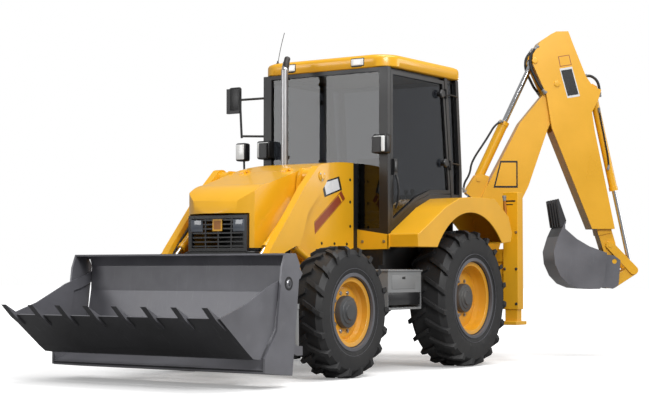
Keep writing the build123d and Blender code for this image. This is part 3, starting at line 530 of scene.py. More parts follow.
def tube_mesh(name: str, route: Sequence[Vector], radius: float, sides: int = 12) -> bpy.types.Mesh:
    """Round hose or pipe along a smooth route.

    Args:
        name: Name of the mesh.
        route: Points that the hose follows.
        radius: Outer radius in metres.
        sides: Number of faces round it.

    Returns:
        The mesh.
    """
    curve = bpy.data.curves.new(name, "CURVE")
    curve.dimensions = "3D"
    spline = curve.splines.new("NURBS")
    spline.points.add(len(route) - 1)
    for point, place in zip(spline.points, route):
        point.co = (*place, 1.0)
    spline.order_u, spline.resolution_u, spline.use_endpoint_u = 3, 8, True
    curve.bevel_depth = radius
    curve.bevel_resolution = max(1, sides // 4 - 1)
    curve.use_fill_caps = True
    holder = bpy.data.objects.new(name, curve)
    bpy.context.scene.collection.objects.link(holder)
    bpy.context.view_layer.update()
    view = bpy.context.evaluated_depsgraph_get()
    mesh = bpy.data.meshes.new_from_object(holder.evaluated_get(view))
    bpy.data.objects.remove(holder)
    mesh.shade_smooth()
    return mesh


def slab_mesh(name: str, outline: Sequence[Vector], way: Vector) -> bpy.types.Mesh:
    """Flat plate: an outline and its copy moved along a way.

    Args:
        name: Name of the mesh.
        outline: Corners in order, in the row frame.
        way: Thickness vector.

    Returns:
        The closed mesh.
    """
    build = bmesh.new()
    low = [build.verts.new(p) for p in outline]
    high = [build.verts.new(p + way) for p in outline]
    build.faces.new(low)
    build.faces.new(high[::-1])
    for index in range(len(low)):
        after = (index + 1) % len(low)
        build.faces.new((low[index], high[index], high[after], low[after]))
    return from_bmesh(name, build)


def pad_mesh(name: str, low: Point, high: Point, radius: float, place: Matrix) -> bpy.types.Mesh:
    """Moulded block between two corners with every edge rounded.

    Args:
        name: Name of the mesh.
        low: Lowest corner.
        high: Highest corner.
        radius: Radius of the edges.
        place: Matrix from the corners' frame to the row frame.

    Returns:
        The mesh.
    """
    build = bmesh.new()
    bmesh.ops.create_cube(build, size=1.0)
    for vert in build.verts:
        vert.co = Vector(tuple(a + (c + 0.5) * (b - a) for a, b, c in zip(low, high, vert.co)))
    bmesh.ops.bevel(build, geom=build.edges[:], offset=radius, offset_type="OFFSET", segments=3, profile=0.5,
                    affect="EDGES", clamp_overlap=True)
    bmesh.ops.transform(build, matrix=place, verts=build.verts)
    return from_bmesh(name, build, PAD_ANGLE)


def lathe_mesh(name: str, profile: Profile, centre: Vector, axis: Vector, steps: int) -> bpy.types.Mesh:
    """Turned piece from a profile of radius and distance along the axis.

    Args:
        name: Name of the mesh.
        profile: Pairs of radius and distance along the axis.
        centre: Point where the distance is 0.
        axis: Direction of the axis.
        steps: Number of faces round it.

    Returns:
        The mesh, closed at ends where the radius is 0.
    """
    way = axis.normalized()
    across = way.orthogonal().normalized()
    other = way.cross(across)
    build = bmesh.new()
    rings: list[list[bmesh.types.BMVert]] = []
    for radius, along in profile:
        base = centre + way * along
        if radius < WELD:
            rings.append([build.verts.new(base)])
            continue
        rings.append([build.verts.new(base + (across * math.cos(2 * math.pi * i / steps)
                                              + other * math.sin(2 * math.pi * i / steps)) * radius)
                      for i in range(steps)])
    bridge(build, rings)
    return from_bmesh(name, build, SHARP_ANGLE)


def cushion(name: str, low: Point, high: Point, cap: float, place: Matrix) -> bpy.types.Mesh:
    """Stuffed cushion blown up by a cloth simulation, then sewn with channels.

    Args:
        name: Name of the mesh.
        low: Lowest corner of the cushion before it swells.
        high: Highest corner.
        cap: Furthest that a point may move, in metres.
        place: Matrix from the corners' frame to the row frame.

    Returns:
        The mesh.
    """
    obj = bpy.data.objects.new(name, pad_mesh(name, low, high, CUSHION_EDGE, place))
    bpy.context.scene.collection.objects.link(obj)
    remesh = obj.modifiers.new("even", "REMESH")
    remesh.mode, remesh.voxel_size = "VOXEL", CUSHION_VOXEL
    finished(obj)
    before = [vert.co.copy() for vert in obj.data.vertices]
    cloth = obj.modifiers.new("cloth", "CLOTH")
    cloth.settings.use_pressure = True
    cloth.settings.uniform_pressure_force = CUSHION_PRESSURE
    cloth.settings.effector_weights.gravity = 0.0
    cloth.point_cache.frame_start, cloth.point_cache.frame_end = 1, CUSHION_FRAMES
    for step in range(1, CUSHION_FRAMES + 1):
        bpy.context.scene.frame_set(step)
    finished(obj)
    bpy.context.scene.frame_set(1)
    thick = min(range(3), key=lambda axis: high[axis] - low[axis])
    long = 2 if thick == 0 else 0
    start = place @ Vector(low)
    length, depth = high[long] - low[long], high[thick] - low[thick]
    centre = start[thick] + depth / 2
    for vert, rest in zip(obj.data.vertices, before):
        move = vert.co - rest
        if move.length > cap:
            vert.co = rest + move.normalized() * cap
        along = (vert.co[long] - start[long]) / length
        groove = min(abs(along - share) for share in CHANNELS) * length
        off = vert.co[thick] - centre
        if groove < CHANNEL_WIDTH and abs(off) > 0.3 * depth:
            vert.co[thick] -= math.copysign(CHANNEL_DEPTH * (1 - groove / CHANNEL_WIDTH), off)
    smooth = obj.modifiers.new("smooth", "SUBSURF")
    smooth.levels = 1
    finished(obj)
    result = obj.data
    bpy.data.objects.remove(obj)
    result.shade_smooth()
    return result


# ------------------------------------------------------------------ geometry nodes: fasteners in a pattern
class Fasteners:
    """Hex bolts placed by Geometry Nodes at each point of a guide mesh, along its normals."""

    def __init__(self, effects: Effects) -> None:
        """Build the tree once.

        Args:
            effects: The shared shader groups.
        """
        self.effects = effects
        self.tree = self._build()

    @staticmethod
    def _build() -> bpy.types.NodeTree:
        """Node tree: guide points become hex heads with a washer."""
        tree = bpy.data.node_groups.new("BoltPattern", "GeometryNodeTree")
        face = tree.interface
        face.new_socket("Geometry", in_out="INPUT", socket_type="NodeSocketGeometry")
        for label, value in (("Head Radius", 0.012), ("Head Height", 0.008), ("Washer Radius", 0.017)):
            socket = face.new_socket(label, in_out="INPUT", socket_type="NodeSocketFloat")
            socket.default_value = value
        face.new_socket("Finish", in_out="INPUT", socket_type="NodeSocketMaterial")
        face.new_socket("Geometry", in_out="OUTPUT", socket_type="NodeSocketGeometry")
        make = tree.nodes.new
        source, sink = make("NodeGroupInput"), make("NodeGroupOutput")
        head, washer = make("GeometryNodeMeshCylinder"), make("GeometryNodeMeshCylinder")
        head.inputs["Vertices"].default_value, washer.inputs["Vertices"].default_value = 6, 16
        washer.inputs["Depth"].default_value = WASHER_DEPTH
        lift, both = make("GeometryNodeTransform"), make("GeometryNodeJoinGeometry")
        half, offset = make("ShaderNodeMath"), make("ShaderNodeCombineXYZ")
        half.operation = "MULTIPLY"
        half.inputs[1].default_value = 0.5
        normal, align = make("GeometryNodeInputNormal"), make("FunctionNodeAlignEulerToVector")
        align.axis = "Z"
        stored, centres = make("GeometryNodeCaptureAttribute"), make("GeometryNodeMeshToPoints")
        stored.domain, centres.mode = "FACE", "FACES"
        stored.capture_items.new("VECTOR", "Way")
        scatter, real = make("GeometryNodeInstanceOnPoints"), make("GeometryNodeRealizeInstances")
        paint = make("GeometryNodeSetMaterial")
        for start, end in (
                (source.outputs["Head Radius"], head.inputs["Radius"]),
                (source.outputs["Head Height"], head.inputs["Depth"]),
                (source.outputs["Washer Radius"], washer.inputs["Radius"]),
                (source.outputs["Head Height"], half.inputs[0]), (half.outputs[0], offset.inputs["Z"]),
                (head.outputs["Mesh"], lift.inputs["Geometry"]), (offset.outputs[0], lift.inputs["Translation"]),
                (lift.outputs[0], both.inputs[0]), (washer.outputs["Mesh"], both.inputs[0]),
                (source.outputs["Geometry"], stored.inputs["Geometry"]), (normal.outputs[0], stored.inputs[1]),
                (stored.outputs["Geometry"], centres.inputs["Mesh"]), (stored.outputs[1], align.inputs["Vector"]),
                (centres.outputs["Points"], scatter.inputs["Points"]), (both.outputs[0], scatter.inputs["Instance"]),
                (align.outputs[0], scatter.inputs["Rotation"]), (scatter.outputs[0], real.inputs[0]),
                (real.outputs[0], paint.inputs["Geometry"]), (source.outputs["Finish"], paint.inputs["Material"]),
                (paint.outputs[0], sink.inputs[0])):
            tree.links.new(start, end)
        return tree

    def place(self, name: str, spots: Sequence[tuple[Vector, Vector]], body: str, finish: Finish,
              head: float) -> bpy.types.Object:
        """Put a bolt at each spot.

        Args:
            name: Name of the piece.
            spots: Pairs of place and outward direction.
            body: Body that the bolts ride on.
            finish: Finish of the bolts.
            head: Radius of the head in metres.

        Returns:
            The piece with every bolt.
        """
        build = bmesh.new()
        for place, way in spots:
            across = way.orthogonal().normalized() * GUIDE_SIZE
            other = way.cross(across)
            corners = [place + across, place + other, place - across, place - other]
            build.faces.new([build.verts.new(corner) for corner in corners])
        guide = bpy.data.meshes.new(name)
        build.to_mesh(guide)
        build.free()
        obj = bpy.data.objects.new(name, guide)
        bpy.context.scene.collection.objects.link(obj)
        modifier = obj.modifiers.new("bolts", "NODES")
        modifier.node_group = self.tree
        keys = {item.name: item.identifier for item in self.tree.interface.items_tree if item.in_out == "INPUT"}
        for label, value in (("Head Radius", head), ("Head Height", head * HEAD_SHARE),
                             ("Washer Radius", head * WASHER_SHARE), ("Finish", finish.material(self.effects))):
            modifier[keys[label]] = value
        mesh = finished(obj).data
        bpy.data.objects.remove(obj)
        return piece(name, mesh, finish, self.effects, body)


# ------------------------------------------------------------------ the machine
@dataclass
class Machine:
    """What every sub-assembly shares: the frame, the effects and where the CAD's own origin is."""

    effects: Effects = field(default_factory=Effects)
    slew: float = 128.0
    slew_x: float = -1.42
    film_sink: float = 0.002
    film_rise: float = 0.003
    film_step: float = 0.0008
    fasteners: Fasteners = field(init=False)
    origin: Vector = field(init=False)

    def __post_init__(self) -> None:
        """Find the machine's origin, on the ground under the rear axle."""
        self.fasteners = Fasteners(self.effects)
        left_low, left_high = (Vector(c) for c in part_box("tyre_rear_left"))
        right_low, _ = (Vector(c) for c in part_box("tyre_rear_right"))
        self.origin = Vector(((left_low.x + left_high.x) / 2, (left_high.y + right_low.y) / 2, 0.0))

    def at(self, x: float, y: float, z: float) -> Vector:
        """Place in the row frame of a point measured from the rear axle's middle on the ground."""
        return self.origin + Vector((x, y, z))

    def hoe(self, r: float, y: float, z: float) -> Vector:
        """Place in the row frame of a point in the backhoe's own plane, r metres out from its slew axis."""
        cos, sin = math.cos(math.radians(self.slew)), math.sin(math.radians(self.slew))
        return self.at(self.slew_x + r * cos - y * sin, r * sin + y * cos, z)

    def frame(self) -> Matrix:
        """Matrix from machine coordinates to the row frame."""
        return Matrix.Translation(self.origin)

    def add(self, name: str, mesh: bpy.types.Mesh, finish: Finish, body: str = "chassis") -> bpy.types.Object:
        """Add a piece to a body."""
        return piece(name, mesh, finish, self.effects, body)

    def pad(self, name: str, low: Point, high: Point, radius: float, finish: Finish,
            body: str = "chassis") -> bpy.types.Object:
        """Add a moulded block given in machine coordinates."""
        return self.add(name, pad_mesh(name, low, high, radius, self.frame()), finish, body)

    def tube(self, name: str, route: Iterable[Point], radius: float, finish: Finish, body: str = "chassis",
             sides: int = 12) -> bpy.types.Object:
        """Add a bent bar along points in machine coordinates."""
        return self.add(name, tube_mesh(name, [self.at(*point) for point in route], radius, sides), finish, body)

    def turned(self, name: str, profile: Profile, centre: Vector, axis: Vector, finish: Finish, body: str = "chassis",
               steps: int = 48) -> bpy.types.Object:
        """Add a turned piece at a place in the row frame."""
        return self.add(name, lathe_mesh(name, profile, centre, axis, steps), finish, body)

    def hose(self, name: str, route: Sequence[Vector], radius: float, finish: Finish, body: str) -> None:
        """Add a fixed hydraulic line with a swaged fitting on each end.

        Args:
            name: Name of the line.
            route: Points that it follows, in the row frame.
            radius: Outer radius of the line.
            finish: Finish of the line.
            body: Body that carries it.
        """
        self.add(name, tube_mesh(name, route, radius), finish, body)
        profile = [(0.0, -0.004), (radius * 1.5, -0.004), (radius * 1.5, 0.018), (radius * 1.25, 0.022),
                   (radius * 1.25, 0.05), (radius * 1.02, 0.055), (0.0, 0.055)]
        for index, (end, inner) in enumerate(((route[0], route[1]), (route[-1], route[-2]))):
            self.turned(f"{name}_fitting{index}", profile, end, inner - end, FRAME_GREY, body, 12)

    def film(self, name: str, corners: Sequence[Vector], way: Vector, layers: Sequence[tuple[float, Finish]],
             body: str) -> None:
        """Lay blank films on a face, each smaller than the one below.

        Args:
            name: Name of the pieces.
            corners: Outline of the lowest film on the face.
            way: Outward direction of the face.
            layers: Size as a share of the outline, and finish, of each film.
            body: Body that carries them.
        """
        middle = sum(corners, Vector()) / len(corners)
        for index, (share, finish) in enumerate(layers):
            ring = [middle + (c - middle) * share - way * self.film_sink for c in corners]
            mesh = slab_mesh(f"{name}_{index}", ring, way * (self.film_rise + self.film_step * index))
            self.add(f"{name}_{index}", mesh, finish, body)

    def dress(self, node: str, body: str, finish: Finish, bevel: float, angle: float = SHARP_ANGLE,
              segments: int = 2) -> None:
        """Stand a rounded, finished copy in for a CAD node.

        Args:
            node: CAD node to replace.
            body: Body that the node belongs to.
            finish: Finish of the copy.
            bevel: Width of the edge rounding in metres.
            angle: Smallest edge angle in degrees that is rounded.
            segments: Faces across the rounding.
        """
        obj = piece(node + "_skin", fair_copy(node), finish, self.effects, body)
        soften(obj, bevel, segments, angle)
        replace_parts(obj, node)

    def dress_all(self, table: Dressing, body: str = "") -> None:
        """Dress each node of a table, on one body, or each on the body with its own name."""
        for node, finish, bevel in table:
            self.dress(node, body or node, finish, bevel)

    def accent(self, node: str, finish: Finish, picks: Callable[[Vector, Vector], bool]) -> None:
        """Give some faces of a dressed node a second finish.

        Args:
            node: CAD node whose dressed copy is changed.
            finish: Finish of the picked faces.
            picks: Says, from a face's middle in machine coordinates and its normal, whether it is picked.
        """
        mesh = bpy.data.objects[node + "_skin"].data
        mesh.materials.append(finish.material(self.effects))
        for face in mesh.polygons:
            if picks(face.center - self.origin, face.normal):
                face.material_index = len(mesh.materials) - 1

    def paint(self, node: str, finish: Finish) -> None:
        """Give a CAD node that stays its finish."""
        materials = FRAME["nodes"][node].data.materials
        materials.clear()
        materials.append(finish.material(self.effects))


@dataclass
class Wheels:
    """Tyres and rims with their hub covers, rim rings and wheel nuts."""

    machine: Machine
    rear_radius: float = 0.700
    front_radius: float = 0.605
    rear_track: float = 0.925
    front_track: float = 0.900
    wheelbase: float = 2.170
    nuts: int = 10
    nut_circle: float = 0.182
    nut_face: float = 0.048
    nut_head: float = 0.014
    bead: dict[str, float] = field(default_factory=lambda: {"front": 0.318, "rear": 0.372})
    rings: Sequence[Point] = ((0.006, 0.042, 0.006), (0.078, 0.084, 0.004))
    ring_root: float = 0.02
    ring_margin: float = 0.02
    hub: Profile = ((0.150, 0.012), (0.150, 0.086), (0.142, 0.100), (0.112, 0.104), (0.106, 0.112), (0.075, 0.116),
                    (0.068, 0.128), (0.0, 0.128))

    def build(self) -> None:
        """Dress the four wheels."""
        m = self.machine
        for side in Side:
            for axle, x, y, radius in (("front", self.wheelbase, self.front_track, self.front_radius),
                                       ("rear", 0.0, self.rear_track, self.rear_radius)):
                body = f"{axle}_wheel_{side.word}"
                m.dress(f"tyre_{axle}_{side.word}", body, RUBBER, 0.005, ROUND_ANGLE, 1)
                m.dress(f"rim_{axle}_{side.word}", body, RIM_YELLOW, 0.003, ROUND_ANGLE)
                centre = m.at(x, side.value * y, radius)
                m.turned(f"hub_cover_{axle}_{side.word}", self.hub, centre, side.out, HUB_GREY, body)
                self._nuts(axle, side, body, centre)
                self._sidewall(axle, side, body, centre)
        LOG.info("wheels dressed")

    def _nuts(self, axle: str, side: Side, body: str, centre: Vector) -> None:
        """Ring of nuts on one wheel.

        Args:
            axle: front or rear.
            side: Side of the machine.
            body: Body of the wheel.
            centre: Middle of the wheel.
        """
        spots = []
        for index in range(self.nuts):
            angle = 2 * math.pi * index / self.nuts
            around = Vector((math.cos(angle), 0, math.sin(angle)))
            spots.append((centre + around * self.nut_circle + side.out * self.nut_face, side.out))
        self.machine.fasteners.place(f"wheel_nuts_{axle}_{side.word}", spots, body, STEEL, self.nut_head)

    def _sidewall(self, axle: str, side: Side, body: str, centre: Vector) -> None:
        """Raised rings on the outer wall of one tyre: the rim guard and a fitting line, in pale rubber that paints the
        sidewall's highlight.

        Args:
            axle: front or rear.
            side: Side of the machine.
            body: Body of the wheel.
            centre: Middle of the wheel.
        """
        tyre = f"tyre_{axle}_{side.word}"
        low, high = (Vector(c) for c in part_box(tyre))
        wall = (high.y - low.y) / 2
        points = FRAME["nodes"][tyre].data.vertices
        for index, (near, far, rise) in enumerate(self.rings):
            start, end = self.bead[axle] + near, self.bead[axle] + far
            across = [abs(v.co.y - centre.y) for v in points
                      if start - self.ring_margin < math.hypot(v.co.x - centre.x, v.co.z - centre.z)
                      < end + self.ring_margin]
            face = min(max(across, default=wall), wall)
            root = face - self.ring_root
            ring = [(start, root), (start + 0.002, face + rise - 0.002), (start + 0.005, face + rise),
                    (end - 0.005, face + rise), (end - 0.001, face + rise - 0.003), (end, root), (start, root)]
            self.machine.turned(f"sidewall_{axle}_{side.word}_{index}", ring, centre, side.out, SIDEWALL_HIGHLIGHT, body, 72)


@dataclass
class Body:
    """Bonnet, cowl, cab, fenders and the rest of the chassis."""

    machine: Machine
    cowl_y: float = 0.408
    nose_x: float = 2.840
    roof_back: float = -0.392
    roof_front: float = 1.118
    roof_half: float = 0.790
    roof_corners: tuple[float, float] = (0.15, 0.20)
    roof_rings: Profile = (
        (0.0, 3.002), (0.93, 3.002), (0.985, 3.002), (1.0, 3.012), (1.0, 3.088), (0.996, 3.104), (0.985, 3.118),
        (0.955, 3.130), (0.88, 3.142), (0.75, 3.156), (0.58, 3.169), (0.38, 3.179), (0.18, 3.185), (0.0, 3.187))
    stack: tuple[float, float] = (1.40, -0.26)
    tread_bars: int = 8

    def build(self) -> None:
        """Dress the fixed bodywork and the bonnet."""
        m = self.machine
        m.dress_all((
            ("fenders", YELLOW, 0.012), ("cab_frame", BLACK, 0.006), ("chassis_frame", YELLOW, 0.005),
            ("engine_block", BLACK, 0.008), ("nose_weight", BLACK, 0.008), ("grille", PANEL_BLACK, 0.002),
            ("front_axle", BLACK, 0.006), ("rear_axle", BLACK, 0.006), ("exhaust_stack", STACK, 0.003),
            ("step_box_and_tank", FRAME_GREY, 0.006), ("rear_frame", YELLOW, 0.005), ("mirror", BLACK, 0.004),
            ("lamps", BLACK, 0.006), ("dash_and_wheel", BLACK, 0.005)), "chassis")
        m.dress_all((node, BLACK, 0.005) for node in ("knuckle_left", "knuckle_right", "door_left", "door_right"))
        m.dress("bonnet", "bonnet", YELLOW, 0.009, CROWN_ANGLE, 3)
        m.dress("rear_cowl", "chassis", YELLOW, 0.006, CROWN_ANGLE, 3)
        self._roof()
        for node in ("cab_glass", "door_glass_left", "door_glass_right"):
            m.paint(node, GLASS)
        LOG.info("bodywork dressed")
        for job in (self._nose, self._stack, self._lamps, self._mirror, self._films, self._seat, self._controls,
                    self._rear_pipes):
            job()
        for side in Side:
            self._door_fittings(side)
            self._sill(side)
            self._steps(side)
        self._bolts()

    def _roof(self) -> None:
        """Moulded roof: a crowned shell with rounded corners over a turned-in rim."""
        m, steps = self.machine, 12
        middle = (self.roof_back + self.roof_front) / 2
        plan: list[tuple[float, float]] = []
        for quarter, (front, left) in enumerate(((1, 1), (0, 1), (0, -1), (1, -1))):
            radius = self.roof_corners[front]
            x = self.roof_front - radius if front else self.roof_back + radius
            y = left * (self.roof_half - radius)
            for step in range(steps + 1):
                angle = math.radians(90 * (quarter + step / steps))
                plan.append((x + radius * math.cos(angle), y + radius * math.sin(angle)))
        build = bmesh.new()
        loops: list[list[bmesh.types.BMVert]] = []
        for share, z in self.roof_rings:
            ring = [(middle + (x - middle) * share, y * share) for x, y in plan] if share else [(middle, 0)]
            loops.append([build.verts.new(m.at(x, y, z)) for x, y in ring])
        bridge(build, loops)
        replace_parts(m.add("cab_roof_skin", from_bmesh("roof", build, ROOF_ANGLE), YELLOW), "cab_roof")

    def _sill(self, side: Side) -> None:
        """Yellow sill that joins the cowl to the fender below the door.

        Args:
            side: Side of the machine.
        """
        m, k = self.machine, side.value
        front = [m.at(1.101, k * y, z) for y, z in ((0.409, 1.192), (0.775, 1.196), (0.775, 1.338), (0.409, 1.392))]
        rail = [m.at(x, k * 0.7625, z) for x, z in ((1.114, 1.196), (1.114, 1.336), (1.088, 1.338), (1.088, 1.222))]
        m.add(f"sill_front_{side.word}", slab_mesh("sill", front, Vector((0.013, 0, 0))), YELLOW)
        m.add(f"sill_rail_{side.word}", slab_mesh("rail", rail, side.out * 0.016), YELLOW)

    def _nose(self) -> None:
        """Headlamps behind smoked covers, and a blank square in the middle of the grille."""
        m = self.machine
        for side in Side:
            y0, y1 = side.span(0.175, 0.315)
            m.pad(f"headlamp_{side.word}", (self.nose_x - 0.020, y0, 1.335), (self.nose_x + 0.004, y1, 1.455), 0.014,
                  SMOKED)
        square = [m.at(self.nose_x, y, z)
                  for y, z in ((-0.055, 1.345), (0.055, 1.345), (0.055, 1.455), (-0.055, 1.455))]
        m.film("nose_square", square, Vector((1, 0, 0)), ((1.0, YELLOW), (0.72, PIPE)), "chassis")

    def _stack(self) -> None:
        """Dark turned-out tip of the exhaust, and its two clamps."""
        m, (x, y) = self.machine, self.stack
        m.tube("stack_tip", ((x, y, 3.00), (x, y, 3.05), (1.352, -0.281, 3.108), (1.334, -0.288, 3.130)), 0.0305,
               EXHAUST, sides=24)
        collar = [(0.0285, -0.014), (0.037, -0.014), (0.038, 0.0), (0.037, 0.014), (0.0285, 0.014), (0.0285, -0.014)]
        for z in (2.12, 2.92):
            m.turned(f"stack_clamp_{int(z * 100)}", collar, m.at(x, y, z), UP, EXHAUST)

    def _lamps(self) -> None:
        """Work lamps on the front posts, in the roof and on the far side, each a housing and a lens."""
        m = self.machine
        for side in Side:
            y0, y1 = side.span(0.630, 0.790)
            m.pad(f"work_lamp_{side.word}", (1.075, y0, 2.135), (1.185, y1, 2.325), 0.022, BLACK)
            m.pad(f"work_lens_{side.word}", (1.170, y0 + 0.014, 2.152), (1.192, y1 - 0.014, 2.308), 0.010, LENS)
            y0, y1 = side.span(0.335, 0.500)
            m.pad(f"roof_lamp_{side.word}", (1.080, y0, 3.020), (1.123, y1, 3.106), 0.012, BLACK)
            m.pad(f"roof_lens_{side.word}", (1.112, y0 + 0.010, 3.030), (1.128, y1 - 0.010, 3.096), 0.006, LENS)
        m.pad("far_lamp", (1.095, -1.060, 2.125), (1.195, -0.930, 2.315), 0.022, BLACK)
        m.pad("far_lamp_lens", (1.185, -1.046, 2.140), (1.203, -0.944, 2.300), 0.008, LENS)
        m.tube("far_lamp_stem", ((1.13, -0.99, 2.14), (1.13, -0.99, 1.93), (1.10, -0.92, 1.84), (1.06, -0.74, 1.83)),
               0.011, BLACK)

    def _mirror(self) -> None:
        """Moulded mirror head with its glass, and the whip aerial."""
        m = self.machine
        m.pad("mirror_head", (1.226, -1.0895, 2.636), (1.2675, -0.946, 2.894), 0.020, BLACK)
        m.pad("mirror_glass", (1.222, -1.078, 2.650), (1.230, -0.958, 2.880), 0.003, MIRROR)
        m.tube("aerial", ((0.985, -0.66, 3.14), (0.975, -0.64, 3.30), (0.950, -0.60, 3.47)), 0.0035, BLACK, sides=8)
        foot = [(0.0, -0.012), (0.024, -0.012), (0.022, 0.006), (0.010, 0.022), (0.007, 0.040), (0.0, 0.040)]
        m.turned("aerial_foot", foot, m.at(0.985, -0.66, 3.135), UP, BLACK, steps=20)

    def _films(self) -> None:
        """Blank films on the left of the cowl, and round fasteners along the seams of both sides."""
        m, out = self.machine, Side.LEFT.out
        plate = [m.at(x, self.cowl_y, z) for x, z in ((1.745, 1.835), (1.435, 1.905), (1.385, 1.775), (1.690, 1.690))]
        m.film("cowl_plate", plate, out, ((1.0, PANEL_BLACK), (0.78, PLATE_WHITE)), "chassis")
        band = [m.at(x, self.cowl_y, z) for x, z in ((1.955, 1.260), (1.975, 1.375), (1.400, 1.765), (1.330, 1.690))]
        m.film("cowl_band", band, out, ((1.0, STRIPE), (0.86, YELLOW), (0.80, STRIPE)), "chassis")
        seams = [(2.055, z) for z in (1.25, 1.42, 1.60, 1.78)] + [(x, 1.245) for x in (1.30, 1.52, 1.74)]
        seams += [(1.24, z) for z in (1.42, 1.66, 1.88)]
        for side in Side:
            spots = [(m.at(x, side.value * (self.cowl_y - 0.001), z), side.out) for x, z in seams]
            m.fasteners.place(f"cowl_bolts_{side.word}", spots, "chassis", BLACK, head=0.011)

    def _seat(self) -> None:
        """Sprung seat: pedestal with bellows, shell, and two stuffed cushions."""
        m = self.machine
        folds = [(0.0, 0.0), (0.150, 0.0), (0.150, 0.05)]
        for index in range(6):
            folds += [(0.160, 0.065 + index * 0.05), (0.128, 0.09 + index * 0.05)]
        folds += [(0.150, 0.375), (0.150, 0.42), (0.0, 0.42)]
        post = m.turned("seat_bellows", folds, m.at(0.405, 0, 1.052), UP, HOSE, steps=40)
        m.pad("seat_pan", (0.185, -0.215, 1.470), (0.630, 0.215, 1.500), 0.012, BLACK)
        m.pad("seat_shell", (0.083, -0.210, 1.520), (0.110, 0.210, 2.175), 0.012, BLACK)
        for name, low, high, cap, fill in (
                ("seat_cushion", (0.200, -0.232, 1.500), (0.635, 0.232, 1.590), 0.014, 0.75),
                ("back_cushion", (0.106, -0.222, 1.560), (0.172, 0.222, 2.190), 0.012, 0.7)):
            m.add(name, cushion(name, low, high, cap, m.frame()), SEAT)
        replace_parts(post, "seat")

    def _controls(self) -> None:
        """Levers and pedals."""
        m = self.machine
        knob = [(0.0, -0.03), (0.018, -0.026), (0.024, 0.0), (0.018, 0.026), (0.0, 0.03)]
        for index, (x, y) in enumerate(((0.86, -0.30), (0.86, -0.36), (0.05, 0.30), (0.05, 0.38))):
            m.tube(f"lever_{index}", ((x, y, 1.06), (x + 0.01, y, 1.45), (x - 0.05, y, 1.80)), 0.010, BLACK)
            m.turned(f"lever_knob_{index}", knob, m.at(x - 0.052, y, 1.815), UP, BLACK, steps=20)
        for index, y in enumerate((-0.22, -0.10, 0.20)):
            m.pad(f"pedal_{index}", (0.985, y - 0.045, 1.105), (1.000, y + 0.045, 1.235), 0.006, BLACK)
            m.tube(f"pedal_arm_{index}", ((0.995, y, 1.17), (1.035, y, 1.20), (1.045, y, 1.34)), 0.010, BLACK)

    def _rear_pipes(self) -> None:
        """Pipe that climbs the front of each leg's tower, and beside it two thin black strips of painted shade where
        the slots' shadows fall.
        """
        m = self.machine
        points = ((-1.092, 0.905, 1.80), (-1.092, 0.925, 1.60), (-1.085, 0.925, 1.46), (-1.080, 0.86, 1.36),
                  (-1.080, 0.72, 1.315), (-1.095, 0.60, 1.30))
        for side in Side:
            route = [m.at(x, side.value * y, z) for x, y, z in points]
            m.hose(f"leg_pipe_{side.word}", route, 0.015, PIPE, "chassis")
            # Two thin black strips on the tower's front: painted shade of the shadowed slots, not recesses.
            y0, y1 = side.span(0.905, 1.035)
            for name, end, low, high in (("leg_slot", y1, 1.735, 1.752), ("leg_slot_low", y1 - 0.03, 1.700, 1.712)):
                m.pad(f"{name}_{side.word}", (-1.1065, y0, low), (-1.1035, end, high), 0.0012, PANEL_BLACK)

    def _door_fittings(self, side: Side) -> None:
        """Round glass clamps, check rods, grip and handle pad of one door.

        Args:
            side: Side of the machine.
        """
        m, k, door = self.machine, side.value, f"door_{side.word}"
        knob = [(0.0, -0.052), (0.030, -0.052), (0.030, -0.016), (0.046, -0.014), (0.046, 0.0), (0.038, 0.010),
                (0.0, 0.012)]
        for x, z, tail in ((0.062, 2.826, -0.300), (-0.014, 2.106, -0.330)):
            m.turned(f"clamp_{side.word}_{int(z)}", knob, m.at(x, k * 0.788, z), side.out, BLACK, door, 36)
            rod = ((x - 0.10, k * 0.775, z + 0.002), ((x + tail) / 2, k * 0.782, z + 0.006),
                   (tail, k * 0.772, z - 0.004))
            m.tube(f"check_rod_{side.word}_{int(z)}", rod, 0.008, BLACK)
        grip = ((0.972, k * 0.770, 1.60), (0.965, k * 0.800, 1.66), (0.958, k * 0.800, 1.86), (0.958, k * 0.770, 1.93))
        m.tube(f"door_grip_{side.word}", grip, 0.012, BLACK, door)
        y0, y1 = side.span(0.778, 0.788)
        m.pad(f"handle_pad_{side.word}", (0.962, y0, 1.955), (1.008, y1, 2.065), 0.004, PANEL_BLACK, door)

    def _steps(self, side: Side) -> None:
        """Door and latch of the box below the door, with grip bars and a black plate of painted shade under the box on
        the left, and a filler cap on the right.

        Args:
            side: Side of the machine.
        """
        m = self.machine
        if side is Side.LEFT:
            for z, y0 in ((0.990, 0.725), (0.622, 0.735)):
                for index in range(self.tread_bars):
                    x = 0.800 + index * 0.080
                    m.pad(f"tread_bar_{int(z * 100)}_{index}", (x, y0, z - 0.002), (x + 0.022, 0.945, z + 0.006), 0.003,
                          FRAME_GREY)
        y0, y1 = side.span(0.9475, 0.9535)
        m.pad(f"box_door_{side.word}", (0.90, y0, 0.805), (1.34, y1, 0.940), 0.003, FRAME_GREY)
        y0, y1 = side.span(0.950, 0.9545)
        m.pad(f"box_latch_{side.word}", (1.09, y0, 0.900), (1.15, y1, 0.925), 0.002, BLACK)
        if side is Side.LEFT:
            # Black plate under the step box: painted shade where the shadow under the box falls.
            m.pad("step_shade", (0.800, 0.935, 0.650), (1.390, 0.946, 0.776), 0.003, PANEL_BLACK)
        else:
            cap = [(0.0, 0.0), (0.045, 0.0), (0.045, 0.022), (0.040, 0.028), (0.0, 0.028)]
            m.turned("filler_cap", cap, m.at(1.30, -0.86, 0.974), UP, BLACK, steps=32)

